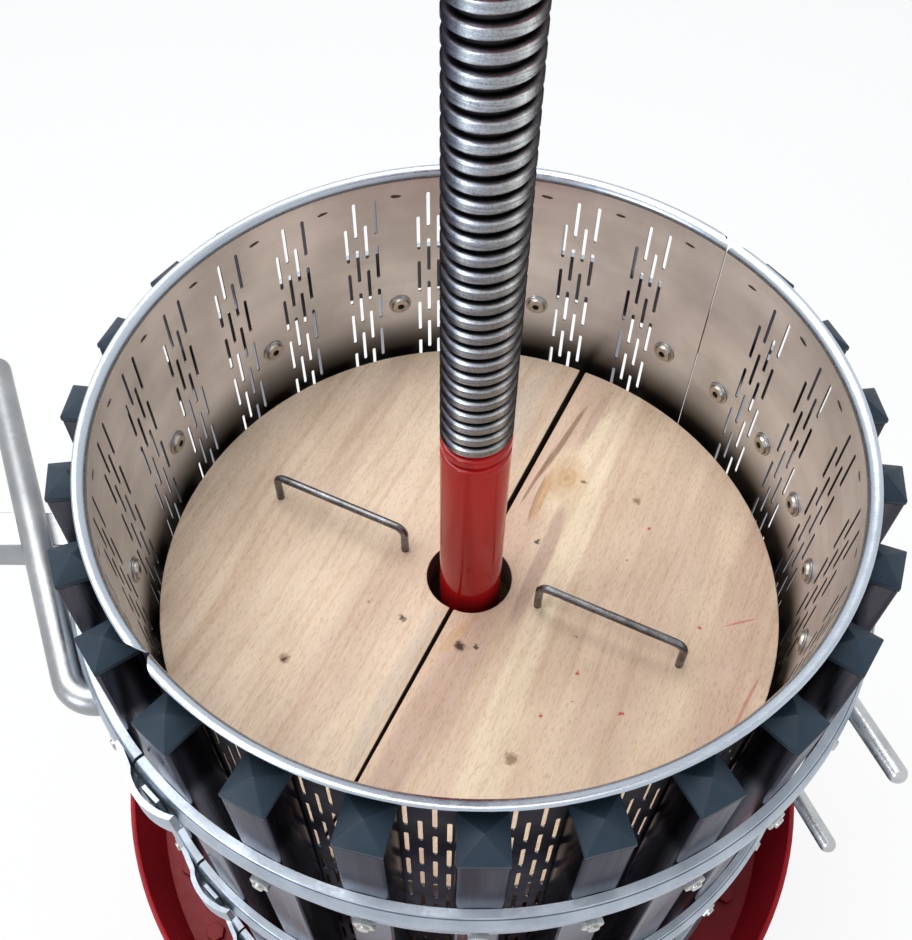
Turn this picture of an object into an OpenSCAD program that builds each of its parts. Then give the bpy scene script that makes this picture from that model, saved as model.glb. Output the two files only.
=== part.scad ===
// Lever wine press: perforated two-part cage on a three-legged pan, split pressing
// boards round a fixed central screw, and a ratchet head with a lever.
// Frame: origin on the floor on the screw axis, +Z up, spout towards -Y. Millimetres.

/* [Screw] */
// crest diameter of the screw, and of its smooth shank
screw_d = 50; // [40:1:60]
// height of the screw's top end above the floor
screw_top = 1480; // [1400:5:1550]
// diameter of the spigot through the pan floor
spigot_d = 40; // [30:1:44]
// length of the spigot below the pan floor
spigot_len = 54; // [50:1:70]
// advance of the nut for one turn, one start
screw_lead = 12; // [8:0.5:16]

/* [Cage] */
// height of the cage from the pan floor to the rolled rim
cage_h = 640; // [500:5:700]
// clear diameter inside the liner
liner_bore = 514; // [400:2:560]
// liner sheet thickness
liner_t = 1.2; // [1:0.1:2]
// radius of the outward flare at the rim
flare_r = 7; // [8:0.5:16]
// diameter of the rolled bead on the flare's edge
bead_d = 3; // [2:0.2:5]
// slats on each half of the cage
slats = 13; // [9:1:17]
// slat width along the hoop
slat_w = 30; // [20:1:40]
// slat depth across the hoop
slat_depth = 30; // [25:1:40]
// slat tube wall
slat_wall = 1.5; // [1:0.1:3]
// height of the cap's plain skirt
cap_skirt = 4; // [2:0.5:8]
// height of the cap's pyramid
cap_rise = 9; // [5:0.5:15]
// drop from the rim to the foot of the pyramid
cap_drop = 23; // [18:1:40]
// depth of the cap's plug in the tube
cap_plug = 15; // [8:1:25]
// azimuth of the right-hand seam between the halves
seam_az = 44.4; // [0:0.1:90]
// gap between the halves at a seam
seam_gap = 2; // [1:0.5:5]

/* [Liner slots] */
// slot width
slot_w = 3; // [2:0.5:5]
// slot length
slot_len = 36; // [20:1:45]
// distance from one slot to the next below it
slot_pitch = 49; // [40:1:60]
// columns of slots between two slats
slot_cols = 4; // [2:1:5]
// distance between columns, along the sheet
slot_col_pitch = 8.57; // [6:0.01:12]
// slots in one column
slot_rows = 12; // [4:1:12]
// drop from the rim to the first slot
slot_drop = 20.5; // [18:0.5:40]

/* [Hoops] */
// hoops on the cage
hoops = 3; // [2:1:3]
// drop from the rim to the upper hoop's ledge
hoop_drop = 107; // [80:1:130]
// distance between hoops
hoop_pitch = 223.5; // [180:0.5:240]
// thickness of the flat leg
hoop_t = 3; // [2:0.5:5]
// width of the flat ledge on top
hoop_ledge = 6; // [4:0.5:10]
// reach of the bead beyond the slats
hoop_bulge = 10; // [7:0.5:14]
// height of the bead
bead_h = 26; // [20:1:36]
// height of the hoop with its leg
hoop_h = 50; // [44:1:70]
// drop from the ledge to the bolt axis
bolt_drop = 35; // [33:0.5:42]
// bolt shank
bolt_d = 8; // [5:1:10]

/* [Seam hooks] */
// strap thickness
hook_t = 4.2; // [2:0.1:5]
// strap height
hook_h = 25; // [18:1:26]
// degrees of hoop that the hook reaches across the seam
hook_reach = 8.8; // [6:0.2:12]
// free depth inside the hook
hook_lift = 5.5; // [4.5:0.5:9]
// thickness of the tongue in the hook
tongue_t = 4; // [2:0.5:5]

/* [Carrying bar] */
// bar diameter
bar_d = 22; // [16:1:28]
// direction that the bar points to
bar_az = 114.8; // [100:0.1:130]
// straight length beyond the point where it touches the hoop
bar_len = 289; // [150:1:340]
// drop from the rim to the bar's centre
bar_drop = 125; // [115:1:140]
// centre-line radius of the bent foot
bar_bend = 25; // [16:1:40]
// direction of the arm under the bar
arm_az = 182.5; // [175:0.1:190]
// side of the arm's square tube
arm_w = 30; // [20:1:40]
// distance from the axis to the arm's open end
arm_reach = 372; // [350:1:400]

/* [Grip rods] */
// rod diameter
rod_d = 14; // [10:1:18]
// direction that both rods point to
rod_az = -64.5; // [-90:0.5:-40]
// visible length of each rod
rod_len = 71; // [50:1:100]

/* [Boards] */
// diameter of the pair of boards
board_d = 500; // [380:2:556]
// board thickness
board_t = 37; // [25:1:50]
// hole for the screw
board_hole = 66; // [54:1:90]
// gap between the boards
board_gap = 2; // [1:0.5:5]
// azimuth of the split between the boards
split_az = 66.7; // [0:0.1:180]
// diameter of the handle rod
handle_d = 8; // [6:0.5:12]
// distance from the axis to the inner foot of a handle
handle_in = 60; // [50:1:90]
// distance from the axis to the outer foot of a handle
handle_out = 180; // [140:1:220]
// height of the rod's centre above the board
handle_rise = 28; // [20:1:50]
// centre-line radius of the handle's bends
handle_bend = 10; // [6:1:20]
// depth of the handle's feet in the board
handle_sink = 20; // [10:1:24]

/* [Spacer blocks] */
// block width
block_w = 80; // [60:1:90]
// block height
block_h = 100; // [60:1:110]
// block length
block_len = 400; // [300:5:420]
// distance from the axis to a block's centre line
block_off = 80; // [70:1:100]
// layers of two blocks
block_layers = 4; // [1:1:4]

/* [Pan] */
// height of the pan floor above the ground
pan_z = 300; // [250:5:400]
// outer diameter of the lip
pan_d = 716; // [690:2:800]
// diameter of the flat floor
pan_floor_d = 672; // [660:2:680]
// height of the wall above the floor
pan_depth = 72; // [50:1:100]
// sheet thickness
pan_t = 3; // [2:0.5:5]
// outer width of the spout
spout_w = 76; // [50:1:100]
// height of the spout's sides
spout_h = 45; // [30:1:60]
// distance from the axis to the spout's tip
spout_tip = 440; // [400:5:480]

/* [Legs] */
// distance from the axis to the top of a leg
leg_top_r = 312; // [306:1:316]
// distance from the axis to the bottom of a leg
leg_foot_r = 372; // [320:1:420]
// width of each flange of the leg angle
leg_w = 42; // [30:1:46]
// thickness of the leg angle
leg_t = 5; // [3:0.5:8]
// bracket plate thickness
bracket_t = 6; // [4:0.5:10]
// foot plate thickness
foot_t = 8; // [5:0.5:12]
// distance from the axis to a foot's floor-bolt hole
foot_hole_r = 415; // [405:1:440]
// floor-bolt hole
foot_hole_d = 12; // [8:1:16]
// leg bolt shank
leg_bolt_d = 10; // [6:1:12]
// half distance between the two bolts of a leg
leg_bolt_off = 38; // [34:1:42]
// radius of the round plate under the pan
plate_r = 110; // [80:1:150]
// its thickness
plate_t = 10; // [6:1:16]

/* [Ratchet head] */
// height of the pressure plate's underside
head_z = 1310; // [1250:5:1340]
// pressure plate diameter
press_d = 200; // [160:5:260]
// pressure plate thickness
press_t = 16; // [10:1:24]
// outer diameter of the plate's hub
press_hub_d = 100; // [84:1:120]
// height of the hub above the plate
press_hub_h = 20; // [10:1:30]
// bore of the plate and of the thrust washer
press_bore = 54; // [52:1:64]
// thrust washer thickness
thrust_t = 5; // [3:0.5:8]
// hub diameter of the ratchet nut
nut_hub_d = 90; // [74:1:100]
// height of the nut's lower collar
nut_collar_h = 10; // [6:1:20]
// crown diameter
crown_d = 190; // [170:2:220]
// crown thickness
crown_t = 20; // [12:1:30]
// holes in the crown
crown_holes = 18; // [12:2:24]
// radius of the ring of holes
crown_r = 75; // [70:1:90]
// pawl diameter
pawl_d = 20; // [12:0.5:24]
// travel of a pawl
pawl_drop = 22; // [12:1:30]
// height of the lever holder's ring
holder_h = 56; // [50:1:70]
// outer diameter of that ring
holder_d = 124; // [110:1:140]
// outer diameter of a pawl boss
boss_d = 36; // [30:1:44]
// outer diameter of the lever socket
socket_d = 56; // [48:1:60]
// distance from the axis to the socket's mouth
socket_len = 190; // [150:5:240]
// lever tube diameter
lever_d = 42; // [30:1:46]
// lever tube wall
lever_wall = 3; // [2:0.5:5]
// distance from the axis to the lever's inner end
lever_in = 72; // [66:1:100]
// distance from the axis to the lever's outer end
lever_out = 960; // [600:10:1200]
// length of the grip
grip_len = 140; // [80:5:200]
// grip thickness
grip_t = 4; // [2:0.5:6]
// retaining ring thickness
ring_t = 5; // [3:0.5:8]

/* [Clearances] */
// radial clearance of a part that runs on its shaft
run_fit = 0.08; // [0.05:0.01:0.1]
// radial clearance of a bolt in its hole
bolt_fit = 0.2; // [0.1:0.1:0.5]
// radial clearance of a part that drops or slides in loosely
loose_fit = 0.5; // [0.3:0.1:1]

/* [Hidden] */
$fn = 96;

screw_r = screw_d / 2;
rim_z = pan_z + cage_h;
liner_ri = liner_bore / 2;
liner_ro = liner_ri + liner_t;
slat_ro = liner_ro + slat_depth;
slat_top = rim_z - cap_drop - cap_skirt;
slat_step = 180 / slats;
// the hoop's inner face touches the outer corners of the flat slats
hoop_ri = sqrt(slat_ro * slat_ro + slat_w * slat_w / 4);
leg_ro = hoop_ri + hoop_t;
bead_ro = hoop_ri + hoop_bulge;
bead_sag = hoop_bulge - hoop_ledge;
bead_arc = (bead_h * bead_h / 4 + bead_sag * bead_sag) / (2 * bead_sag);
seam_half = asin(seam_gap / 2 / liner_ri);
front_az = seam_az - 90;
back_az = seam_az + 90;
board_z = pan_z + block_layers * block_h;
board_top = board_z + board_t;
plate_z = pan_z - pan_t - plate_t;
bracket_z = pan_z - pan_t - bracket_t;
thrust_z = head_z + press_t + press_hub_h;
nut_z = thrust_z + thrust_t;
crown_z = nut_z + nut_collar_h;
holder_z = crown_z + crown_t;
holder_top = holder_z + holder_h;
lever_z = holder_z + socket_d / 2 + 3;
bolt_head_d = 16;
bolt_head_h = 2.6;
edge_gap = 0.1;
washer_d = 20;
washer_t = 1.2;
nut_af = 13;
nut_h = 6.5;

echo(rim_height = rim_z, hoop_radius = hoop_ri, board_top = board_top);

function hoop_z(i) = rim_z - hoop_drop - i * hoop_pitch;
function slat_az(i) = -90 + slat_step * (i + 0.5);

module ring(ro, ri, h) {
  difference() {
    cylinder(r = ro, h = h);
    translate([0, 0, -1])
      cylinder(r = ri, h = h + 2);
  }
}

module hex(af, h) {
  cylinder(d = af / cos(30), h = h, $fn = 6);
}

// a half ring about +X, short of each seam by half the seam gap
module half_turn() {
  rotate([0, 0, -90 + seam_half])
    rotate_extrude(angle = 180 - 2 * seam_half)
      children();
}

// BASE
// dished sheet with a central hole, leg bolt holes and a notch for the spout
module pan() {
  color("firebrick")
  difference() {
    rotate_extrude()
      polygon([
        [spigot_d / 2 + loose_fit, pan_z - pan_t],
        [pan_floor_d / 2 + pan_t, pan_z - pan_t],
        [pan_d / 2, pan_z + pan_depth],
        [pan_d / 2 - pan_t, pan_z + pan_depth],
        [pan_floor_d / 2, pan_z],
        [spigot_d / 2 + loose_fit, pan_z]]);
    translate([-spout_w / 2, -pan_d, pan_z - pan_t - 1])
      cube([spout_w, pan_d - pan_floor_d / 2 + 6, spout_h + pan_t + 1]);
    each_leg_bolt()
      translate([0, 0, pan_z - pan_t - 1])
        cylinder(d = leg_bolt_d + 2 * bolt_fit, h = pan_t + 2);
  }
}

// open channel that fills the pan's notch and carries the juice out
module spout() {
  inner = pan_floor_d / 2 - 6;
  color("firebrick")
  translate([-spout_w / 2, -spout_tip, pan_z - pan_t])
    difference() {
      cube([spout_w, spout_tip - inner, spout_h + pan_t]);
      translate([pan_t, -1, pan_t])
        cube([spout_w - 2 * pan_t, spout_tip - inner + 2, spout_h + pan_t]);
    }
}

// round plate under the pan with three welded ribs towards the legs
module base_plate() {
  rib_h = 30;
  rib_t = 8;
  color("firebrick")
  translate([0, 0, plate_z])
    difference() {
      union() {
        cylinder(r = plate_r, h = plate_t);
        for (i = [0 : 2])
          rotate([0, 0, 90 + 120 * i])
            translate([plate_r - 20, -rib_t / 2, plate_t - 1 - rib_h])
              cube([leg_top_r - 27 - plate_r + 20, rib_t, rib_h]);
      }
      translate([0, 0, -1])
        cylinder(r = spigot_d / 2 + loose_fit, h = plate_t + 2);
    }
}

// screw core at crest diameter, with its shoulder on the pan floor
module screw() {
  color("silver") {
    translate([0, 0, pan_z])
      cylinder(r = screw_r, h = screw_top - pan_z - 4);
    translate([0, 0, screw_top - 4])
      cylinder(r1 = screw_r, r2 = screw_r - 4, h = 4);
    translate([0, 0, pan_z - spigot_len])
      cylinder(d = spigot_d, h = spigot_len + 1);
  }
}

module screw_washer() {
  color("silver")
  translate([0, 0, plate_z - 5])
    ring(36, spigot_d / 2 + loose_fit, 5);
}

module screw_nut() {
  color("dimgray")
  translate([0, 0, plate_z - 5 - 30])
    difference() {
      hex(60, 30);
      translate([0, 0, -1])
        cylinder(r = spigot_d / 2 + run_fit, h = 32);
    }
}

module each_leg() {
  for (i = [0 : 2])
    rotate([0, 0, 90 + 120 * i])
      children();
}

module each_leg_bolt() {
  each_leg()
    for (s = [-1, 1])
      translate([leg_top_r, s * leg_bolt_off, 0])
        children();
}

// splayed angle with a bracket plate at the top and a drilled foot plate
module leg() {
  rise = bracket_z - foot_t;
  lean = atan((leg_foot_r - leg_top_r) / rise);
  half = leg_w / sqrt(2);
  bracket_w = 100;
  bracket_l = 44;
  foot_in = leg_foot_r - 32;
  difference() {
    union() {
      intersection() {
        translate([leg_foot_r, 0, foot_t])
          rotate([0, -lean, 0])
            translate([0, 0, -40])
              linear_extrude(rise / cos(lean) + 80)
                polygon([
                  [half / 2, 0],
                  [-half / 2, half],
                  [-half / 2 - leg_t * sqrt(2), half],
                  [half / 2 - leg_t * sqrt(2), 0],
                  [-half / 2 - leg_t * sqrt(2), -half],
                  [-half / 2, -half]]);
        translate([leg_top_r - 100, -100, foot_t - 0.5])
          cube([300, 200, rise + 1]);
      }
      translate([leg_top_r - bracket_l / 2, -bracket_w / 2, bracket_z])
        cube([bracket_l, bracket_w, bracket_t]);
      translate([foot_in, -35, 0])
        cube([foot_hole_r + 22 - foot_in, 70, foot_t]);
    }
    translate([foot_hole_r, 0, -1])
      cylinder(d = foot_hole_d, h = foot_t + 2);
    for (s = [-1, 1])
      translate([leg_top_r, s * leg_bolt_off, bracket_z - 1])
        cylinder(d = leg_bolt_d + 2 * bolt_fit, h = bracket_t + 2);
  }
}

module legs() {
  color("firebrick")
  each_leg()
    leg();
}

module leg_bolts() {
  color("silver")
  each_leg_bolt() {
    translate([0, 0, pan_z])
      hex(17, 6.4);
    translate([0, 0, bracket_z - 11])
      cylinder(d = leg_bolt_d, h = pan_z - bracket_z + 12);
  }
}

module leg_nuts() {
  color("silver")
  each_leg_bolt()
    translate([0, 0, bracket_z - 8])
      difference() {
        hex(17, 8);
        translate([0, 0, -1])
          cylinder(r = leg_bolt_d / 2 + run_fit, h = 10);
      }
}

// two beams a layer, each layer across the one below, clear of the screw
module block_layers_from(first) {
  color("burlywood")
  for (i = [first : 2 : block_layers - 1])
    rotate([0, 0, split_az + 90 * i])
      for (s = [-1, 1])
        translate([-block_len / 2, s * block_off - block_w / 2, pan_z + i * block_h])
          cube([block_len, block_w, block_h]);
}

module spacer_blocks_along() {
  block_layers_from(0);
}

module spacer_blocks_across() {
  block_layers_from(1);
}

// CAGE, each half modelled about +X and turned to its place
module liner_profile() {
  translate([liner_ri, pan_z + edge_gap])
    square([liner_t, cage_h - flare_r - edge_gap]);
  translate([liner_ri + flare_r, rim_z - flare_r])
    intersection() {
      difference() {
        circle(r = flare_r);
        circle(r = flare_r - liner_t);
      }
      translate([-flare_r - 1, 0])
        square([flare_r + 1, flare_r + 1]);
    }
  translate([liner_ri + flare_r, rim_z - bead_d / 2])
    circle(d = bead_d);
}

// flared half shell with staggered columns of slots between the slats
module half_liner(bolted) {
  col_az = slot_col_pitch / liner_ri * 180 / PI;
  difference() {
    half_turn()
      liner_profile();
    for (g = [1 : slats - 1])
      for (c = [0 : slot_cols - 1])
        rotate([0, 0, -90 + slat_step * g + col_az * (c - (slot_cols - 1) / 2)])
          for (j = [0 : slot_rows - 1])
            translate([liner_ri - 2, -slot_w / 2, slot_low(j, c)])
              cube([liner_t + 4, slot_w, slot_len]);
    for (k = [0 : hoops - 1])
      each_bolt(bolted, k)
        bolt_hole(liner_ri - 3, liner_t + 6);
  }
}

// lower end of slot j in column c: every other column is half a pitch lower
function slot_low(j, c) =
  rim_z - slot_drop - slot_len - slot_pitch * (j + (c % 2) / 2);

// children stand on the axis and point outwards along the bolts of hoop k
module each_bolt(every, k) {
  for (i = [0 : every : slats - 1])
    rotate([0, 0, slat_az(i)])
      translate([0, 0, hoop_z(k) - bolt_drop])
        rotate([0, 90, 0])
          children();
}

module bolt_hole(r, depth) {
  translate([0, 0, r])
    cylinder(d = bolt_d + 2 * bolt_fit, h = depth);
}

// upright square tubes, drilled for the hoop bolts
module half_slats(bolted) {
  for (i = [0 : slats - 1])
    rotate([0, 0, slat_az(i)])
      difference() {
        translate([liner_ro, -slat_w / 2, pan_z])
          cube([slat_depth, slat_w, slat_top - pan_z]);
        translate([liner_ro + slat_wall, -slat_w / 2 + slat_wall, pan_z - 1])
          cube([slat_depth - 2 * slat_wall, slat_w - 2 * slat_wall, cage_h]);
        if (i % bolted == 0)
          for (k = [0 : hoops - 1])
            translate([0, 0, hoop_z(k) - bolt_drop])
              rotate([0, 90, 0])
                bolt_hole(liner_ro - 1, slat_depth + 2);
      }
}

// pyramid with a skirt on the tube's end and a plug inside it
module half_caps() {
  gap = slat_wall + 0.1;
  x = slat_depth / 2;
  y = slat_w / 2;
  mid = cap_skirt;
  peak = cap_skirt + cap_rise;
  for (i = [0 : slats - 1])
    rotate([0, 0, slat_az(i)])
      translate([liner_ro + slat_depth / 2, 0, slat_top]) {
        polyhedron(
          points = [
            [-x, -y, 0], [x, -y, 0], [x, y, 0], [-x, y, 0],
            [-x, -y, mid], [x, -y, mid], [x, y, mid], [-x, y, mid],
            [0, 0, peak]
          ],
          faces = [
            [0, 1, 2, 3], [4, 5, 1, 0], [5, 6, 2, 1], [6, 7, 3, 2], [7, 4, 0, 3],
            [8, 5, 4], [8, 6, 5], [8, 7, 6], [8, 4, 7]
          ]
        );
        translate([-x + gap, -y + gap, -cap_plug])
          cube([slat_depth - 2 * gap, slat_w - 2 * gap, cap_plug + 1]);
      }
}

// rolled band: ledge, round bead and a flat leg that takes the bolts
module hoop_profile(z) {
  translate([hoop_ri, z - hoop_h])
    square([hoop_t, hoop_h]);
  translate([hoop_ri, z - 1])
    square([hoop_ledge, 1]);
  intersection() {
    translate([hoop_ri, z - bead_h])
      square([hoop_bulge, bead_h - 1]);
    translate([bead_ro - bead_arc, z - bead_h / 2])
      circle(r = bead_arc);
  }
}

module half_hoop(k, bolted) {
  difference() {
    half_turn()
      hoop_profile(hoop_z(k));
    each_bolt(bolted, k)
      bolt_hole(hoop_ri - 3, hoop_t + 6);
  }
}

// low head and washer inside the liner, shank through slat and hoop
module half_bolts(every) {
  seat = sqrt(liner_ri * liner_ri - washer_d * washer_d / 4);
  for (k = [0 : hoops - 1])
    each_bolt(every, k) {
      translate([0, 0, seat - washer_t])
        cylinder(d = washer_d, h = washer_t);
      translate([0, 0, seat - washer_t - bolt_head_h])
        difference() {
          cylinder(d = bolt_head_d, h = bolt_head_h + 0.5);
          translate([0, 0, -1])
            hex(5, 3.5);
        }
      translate([0, 0, seat - washer_t - 0.5])
        cylinder(d = bolt_d, h = leg_ro + washer_t + nut_h + 2.5 - seat + washer_t);
    }
}

module half_nuts(every) {
  for (k = [0 : hoops - 1])
    each_bolt(every, k)
      translate([0, 0, leg_ro])
        difference() {
          union() {
            cylinder(d = bolt_head_d, h = washer_t);
            hex(nut_af, washer_t + nut_h);
          }
          translate([0, 0, -1])
            cylinder(r = bolt_d / 2 + run_fit, h = nut_h + 5);
        }
}

// hook strap: on its own bead before the seam (a < 0), bowed out past it
function hook_r(a) =
  bead_ro + (a <= 0 ? 0 : min(a, 1) + hook_lift * pow(sin(180 * a / hook_reach), 0.8));

module hook_strap() {
  steps = 32;
  span = hook_reach + 4;
  run = [for (i = [0 : steps]) -4 + span * i / steps];
  linear_extrude(hook_h)
    polygon(concat(
      [for (a = run) hook_r(a) * [cos(a), sin(a)]],
      [for (i = [steps : -1 : 0]) (hook_r(run[i]) + hook_t) * [cos(run[i]), sin(run[i])]]));
}

// back half: each hook is fixed on its hoop's end and reaches over the front half's
module seam_hooks() {
  color("silver")
  for (k = [0 : hoops - 1])
    translate([0, 0, hoop_z(k) - 1 - hook_h]) {
      rotate([0, 0, seam_az - 180])
        hook_strap();
      rotate([0, 0, seam_az])
        mirror([0, 1, 0])
          hook_strap();
    }
}

module tongue() {
  rotate([0, 0, 3])
    rotate_extrude(angle = 3)
      translate([bead_ro, 0])
        square([tongue_t, hook_h + 6]);
}

// front half: tongues on the beads that drop into the hooks from above
module seam_tongues() {
  color("silver")
  for (k = [0 : hoops - 1])
    translate([0, 0, hoop_z(k) - 1 - hook_h]) {
      rotate([0, 0, seam_az - 180])
        tongue();
      rotate([0, 0, seam_az])
        mirror([0, 1, 0])
          tongue();
    }
}

module back_half() {
  rotate([0, 0, back_az])
    children();
}

module front_half() {
  rotate([0, 0, front_az])
    children();
}

module liner_back() {
  color("lightgray")
  back_half()
    half_liner(2);
}

module slats_back() {
  color("silver")
  back_half()
    half_slats(2);
}

module slat_caps_back() {
  color("darkslategray")
  back_half()
    half_caps();
}

module hoop_upper_back() {
  color("silver")
  back_half()
    half_hoop(0, 2);
}

module hoop_middle_back() {
  color("silver")
  back_half()
    half_hoop(1, 2);
}

module hoop_lower_back() {
  color("silver")
  back_half()
    half_hoop(2, 2);
}

module hoop_bolts_back() {
  color("gainsboro")
  back_half()
    half_bolts(2);
}

module hoop_nuts_back() {
  color("gainsboro")
  back_half()
    half_nuts(2);
}

module liner_front() {
  color("lightgray")
  front_half()
    half_liner(1);
}

module slats_front() {
  color("silver")
  front_half()
    half_slats(1);
}

module slat_caps_front() {
  color("darkslategray")
  front_half()
    half_caps();
}

module hoop_upper_front() {
  color("silver")
  front_half()
    half_hoop(0, 1);
}

module hoop_middle_front() {
  color("silver")
  front_half()
    half_hoop(1, 1);
}

module hoop_lower_front() {
  color("silver")
  front_half()
    half_hoop(2, 1);
}

module hoop_bolts_front() {
  color("gainsboro")
  front_half()
    half_bolts(1);
}

module hoop_nuts_front() {
  color("gainsboro")
  front_half()
    half_nuts(1);
}

// bar that lies along the hoop's bead, with a bent foot coped on to it
module carry_bar() {
  out = bead_ro + bar_d / 2;
  foot = 15;
  color("silver")
  translate([0, 0, rim_z - bar_drop])
    difference() {
      rotate([0, 0, bar_az + 90])
        translate([out, 0, 0]) {
          translate([0, foot, 0])
            rotate([90, 0, 0])
              cylinder(d = bar_d, h = bar_len + foot);
          translate([0, -bar_len, 0])
            sphere(d = bar_d);
          translate([-bar_bend, foot, 0])
            rotate_extrude(angle = 60)
              translate([bar_bend, 0])
                circle(d = bar_d);
        }
      translate([0, 0, -60])
        cylinder(r = bead_ro, h = 120);
    }
}

// open square tube from the hoop's leg to beyond the bar that it carries
module bar_arm() {
  wall = 3;
  top = rim_z - bar_drop - bar_d / 2;
  color("silver")
  difference() {
    rotate([0, 0, arm_az])
      difference() {
        translate([leg_ro - 20, -arm_w / 2, top - arm_w])
          cube([arm_reach - leg_ro + 20, arm_w, arm_w]);
        translate([leg_ro - 21, -arm_w / 2 + wall, top - arm_w + wall])
          cube([arm_reach, arm_w - 2 * wall, arm_w - 2 * wall]);
      }
    translate([0, 0, top - arm_w - 1])
      cylinder(r = leg_ro, h = arm_w + 2);
  }
}

// rod that stands on a hoop, coped to the radius it is fixed on
module grip_rod(az, z, r) {
  difference() {
    translate([r * cos(az), r * sin(az), z])
      rotate([0, 90, rod_az])
        translate([0, 0, -12]) {
          cylinder(d = rod_d, h = rod_len + 12 - rod_d / 2);
          translate([0, 0, rod_len + 12 - rod_d / 2])
            sphere(d = rod_d);
        }
    translate([0, 0, z - 20])
      cylinder(r = r, h = 40);
  }
}

module grip_rods() {
  color("silver") {
    grip_rod(-24, hoop_z(0) - 34, leg_ro);
    grip_rod(-20, hoop_z(1) - bead_h / 2, bead_ro);
  }
}

// BOARDS, the right-hand one modelled about +X from the split
module half_board() {
  difference() {
    intersection() {
      cylinder(d = board_d, h = board_t);
      translate([board_gap / 2, -board_d, -1])
        cube([board_d, 2 * board_d, board_t + 2]);
    }
    translate([0, 0, -1])
      cylinder(d = board_hole, h = board_t + 2);
    for (x = [handle_in, handle_out])
      translate([x, 0, board_t - handle_sink])
        cylinder(r = handle_d / 2 + run_fit, h = handle_sink + 1);
  }
}

module board_handle() {
  span = handle_out - handle_in;
  up = handle_sink + handle_rise - handle_bend;
  translate([handle_in, 0, board_t - handle_sink]) {
    for (m = [0, 1])
      translate([m * span, 0, 0])
        mirror([m, 0, 0]) {
          cylinder(d = handle_d, h = up);
          translate([handle_bend, 0, up])
            rotate([90, 0, 0])
              rotate([0, 0, 90])
                rotate_extrude(angle = 90)
                  translate([handle_bend, 0])
                    circle(d = handle_d);
        }
    translate([handle_bend, 0, up + handle_bend])
      rotate([0, 90, 0])
        cylinder(d = handle_d, h = span - 2 * handle_bend);
  }
}

module place_board(side) {
  translate([0, 0, board_z])
    rotate([0, 0, split_az + 90 * side])
      children();
}

module board_left() {
  color("wheat")
  place_board(1)
    half_board();
}

module board_handle_left() {
  color("gray")
  place_board(1)
    board_handle();
}

module board_right() {
  color("wheat")
  place_board(-1)
    half_board();
}

module board_handle_right() {
  color("gray")
  place_board(-1)
    board_handle();
}

// RATCHET HEAD
// cast plate that presses on the blocks, with a hub and six ribs
module pressure_plate() {
  color("firebrick")
  translate([0, 0, head_z])
    difference() {
      union() {
        cylinder(d = press_d, h = press_t);
        cylinder(d = press_hub_d, h = press_t + press_hub_h);
        for (i = [0 : 5])
          rotate([0, 0, 60 * i])
            translate([press_hub_d / 2 - 10, -5, press_t - 1])
              cube([(press_d - press_hub_d) / 2 + 2, 10, 11]);
      }
      translate([0, 0, -1])
        cylinder(d = press_bore, h = press_t + press_hub_h + 2);
    }
}

module thrust_washer() {
  color("goldenrod")
  translate([0, 0, thrust_z])
    ring(press_hub_d / 2 - 8, press_bore / 2, thrust_t);
}

// nut on the screw: collar, crown with a ring of holes, and a turned neck
module ratchet_nut() {
  neck_h = holder_h + ring_t + 10;
  color("firebrick")
  translate([0, 0, nut_z])
    difference() {
      union() {
        cylinder(d = nut_hub_d - 6, h = nut_collar_h);
        translate([0, 0, nut_collar_h])
          cylinder(d = crown_d, h = crown_t);
        translate([0, 0, nut_collar_h])
          cylinder(d = nut_hub_d, h = crown_t + neck_h);
      }
      translate([0, 0, -1])
        cylinder(r = screw_r + run_fit, h = 200);
      for (i = [0 : crown_holes - 1])
        rotate([0, 0, 360 / crown_holes * i + 90])
          translate([crown_r, 0, nut_collar_h - 1])
            cylinder(r = pawl_d / 2 + loose_fit, h = crown_t + 2);
      translate([0, 0, nut_collar_h + crown_t + holder_h + 0.5])
        ring(nut_hub_d, nut_hub_d / 2 - 2.5, ring_t);
    }
}

// split ring in the neck's groove that keeps the lever holder down
module retaining_ring() {
  color("dimgray")
  translate([0, 0, holder_top + 0.5])
    difference() {
      ring(nut_hub_d / 2 + 6, nut_hub_d / 2 - 2.5, ring_t);
      translate([-nut_hub_d, -4, -1])
        cube([nut_hub_d, 8, ring_t + 2]);
    }
}

// ring that swings on the neck, with two pawl bosses and the lever socket
module lever_holder() {
  color("firebrick")
  difference() {
    union() {
      translate([0, 0, holder_z])
        cylinder(d = holder_d, h = holder_h);
      for (s = [-1, 1])
        translate([0, s * crown_r, holder_z])
          cylinder(d = boss_d, h = holder_h);
      translate([0, 0, lever_z])
        rotate([0, 90, 0])
          cylinder(d = socket_d, h = socket_len);
      translate([0, -7, lever_z + 10])
        cube([socket_len - 30, 14, holder_top - lever_z - 10]);
    }
    translate([0, 0, holder_z - 1])
      cylinder(r = nut_hub_d / 2 + run_fit, h = holder_h + 20);
    translate([0, 0, holder_top])
      cylinder(r = nut_hub_d / 2 + 8, h = 20);
    for (s = [-1, 1])
      translate([0, s * crown_r, holder_z - 1])
        cylinder(r = pawl_d / 2 + run_fit, h = holder_h + 2);
    translate([lever_in, 0, lever_z])
      rotate([0, 90, 0])
        cylinder(r = lever_d / 2 + loose_fit, h = socket_len);
  }
}

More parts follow.
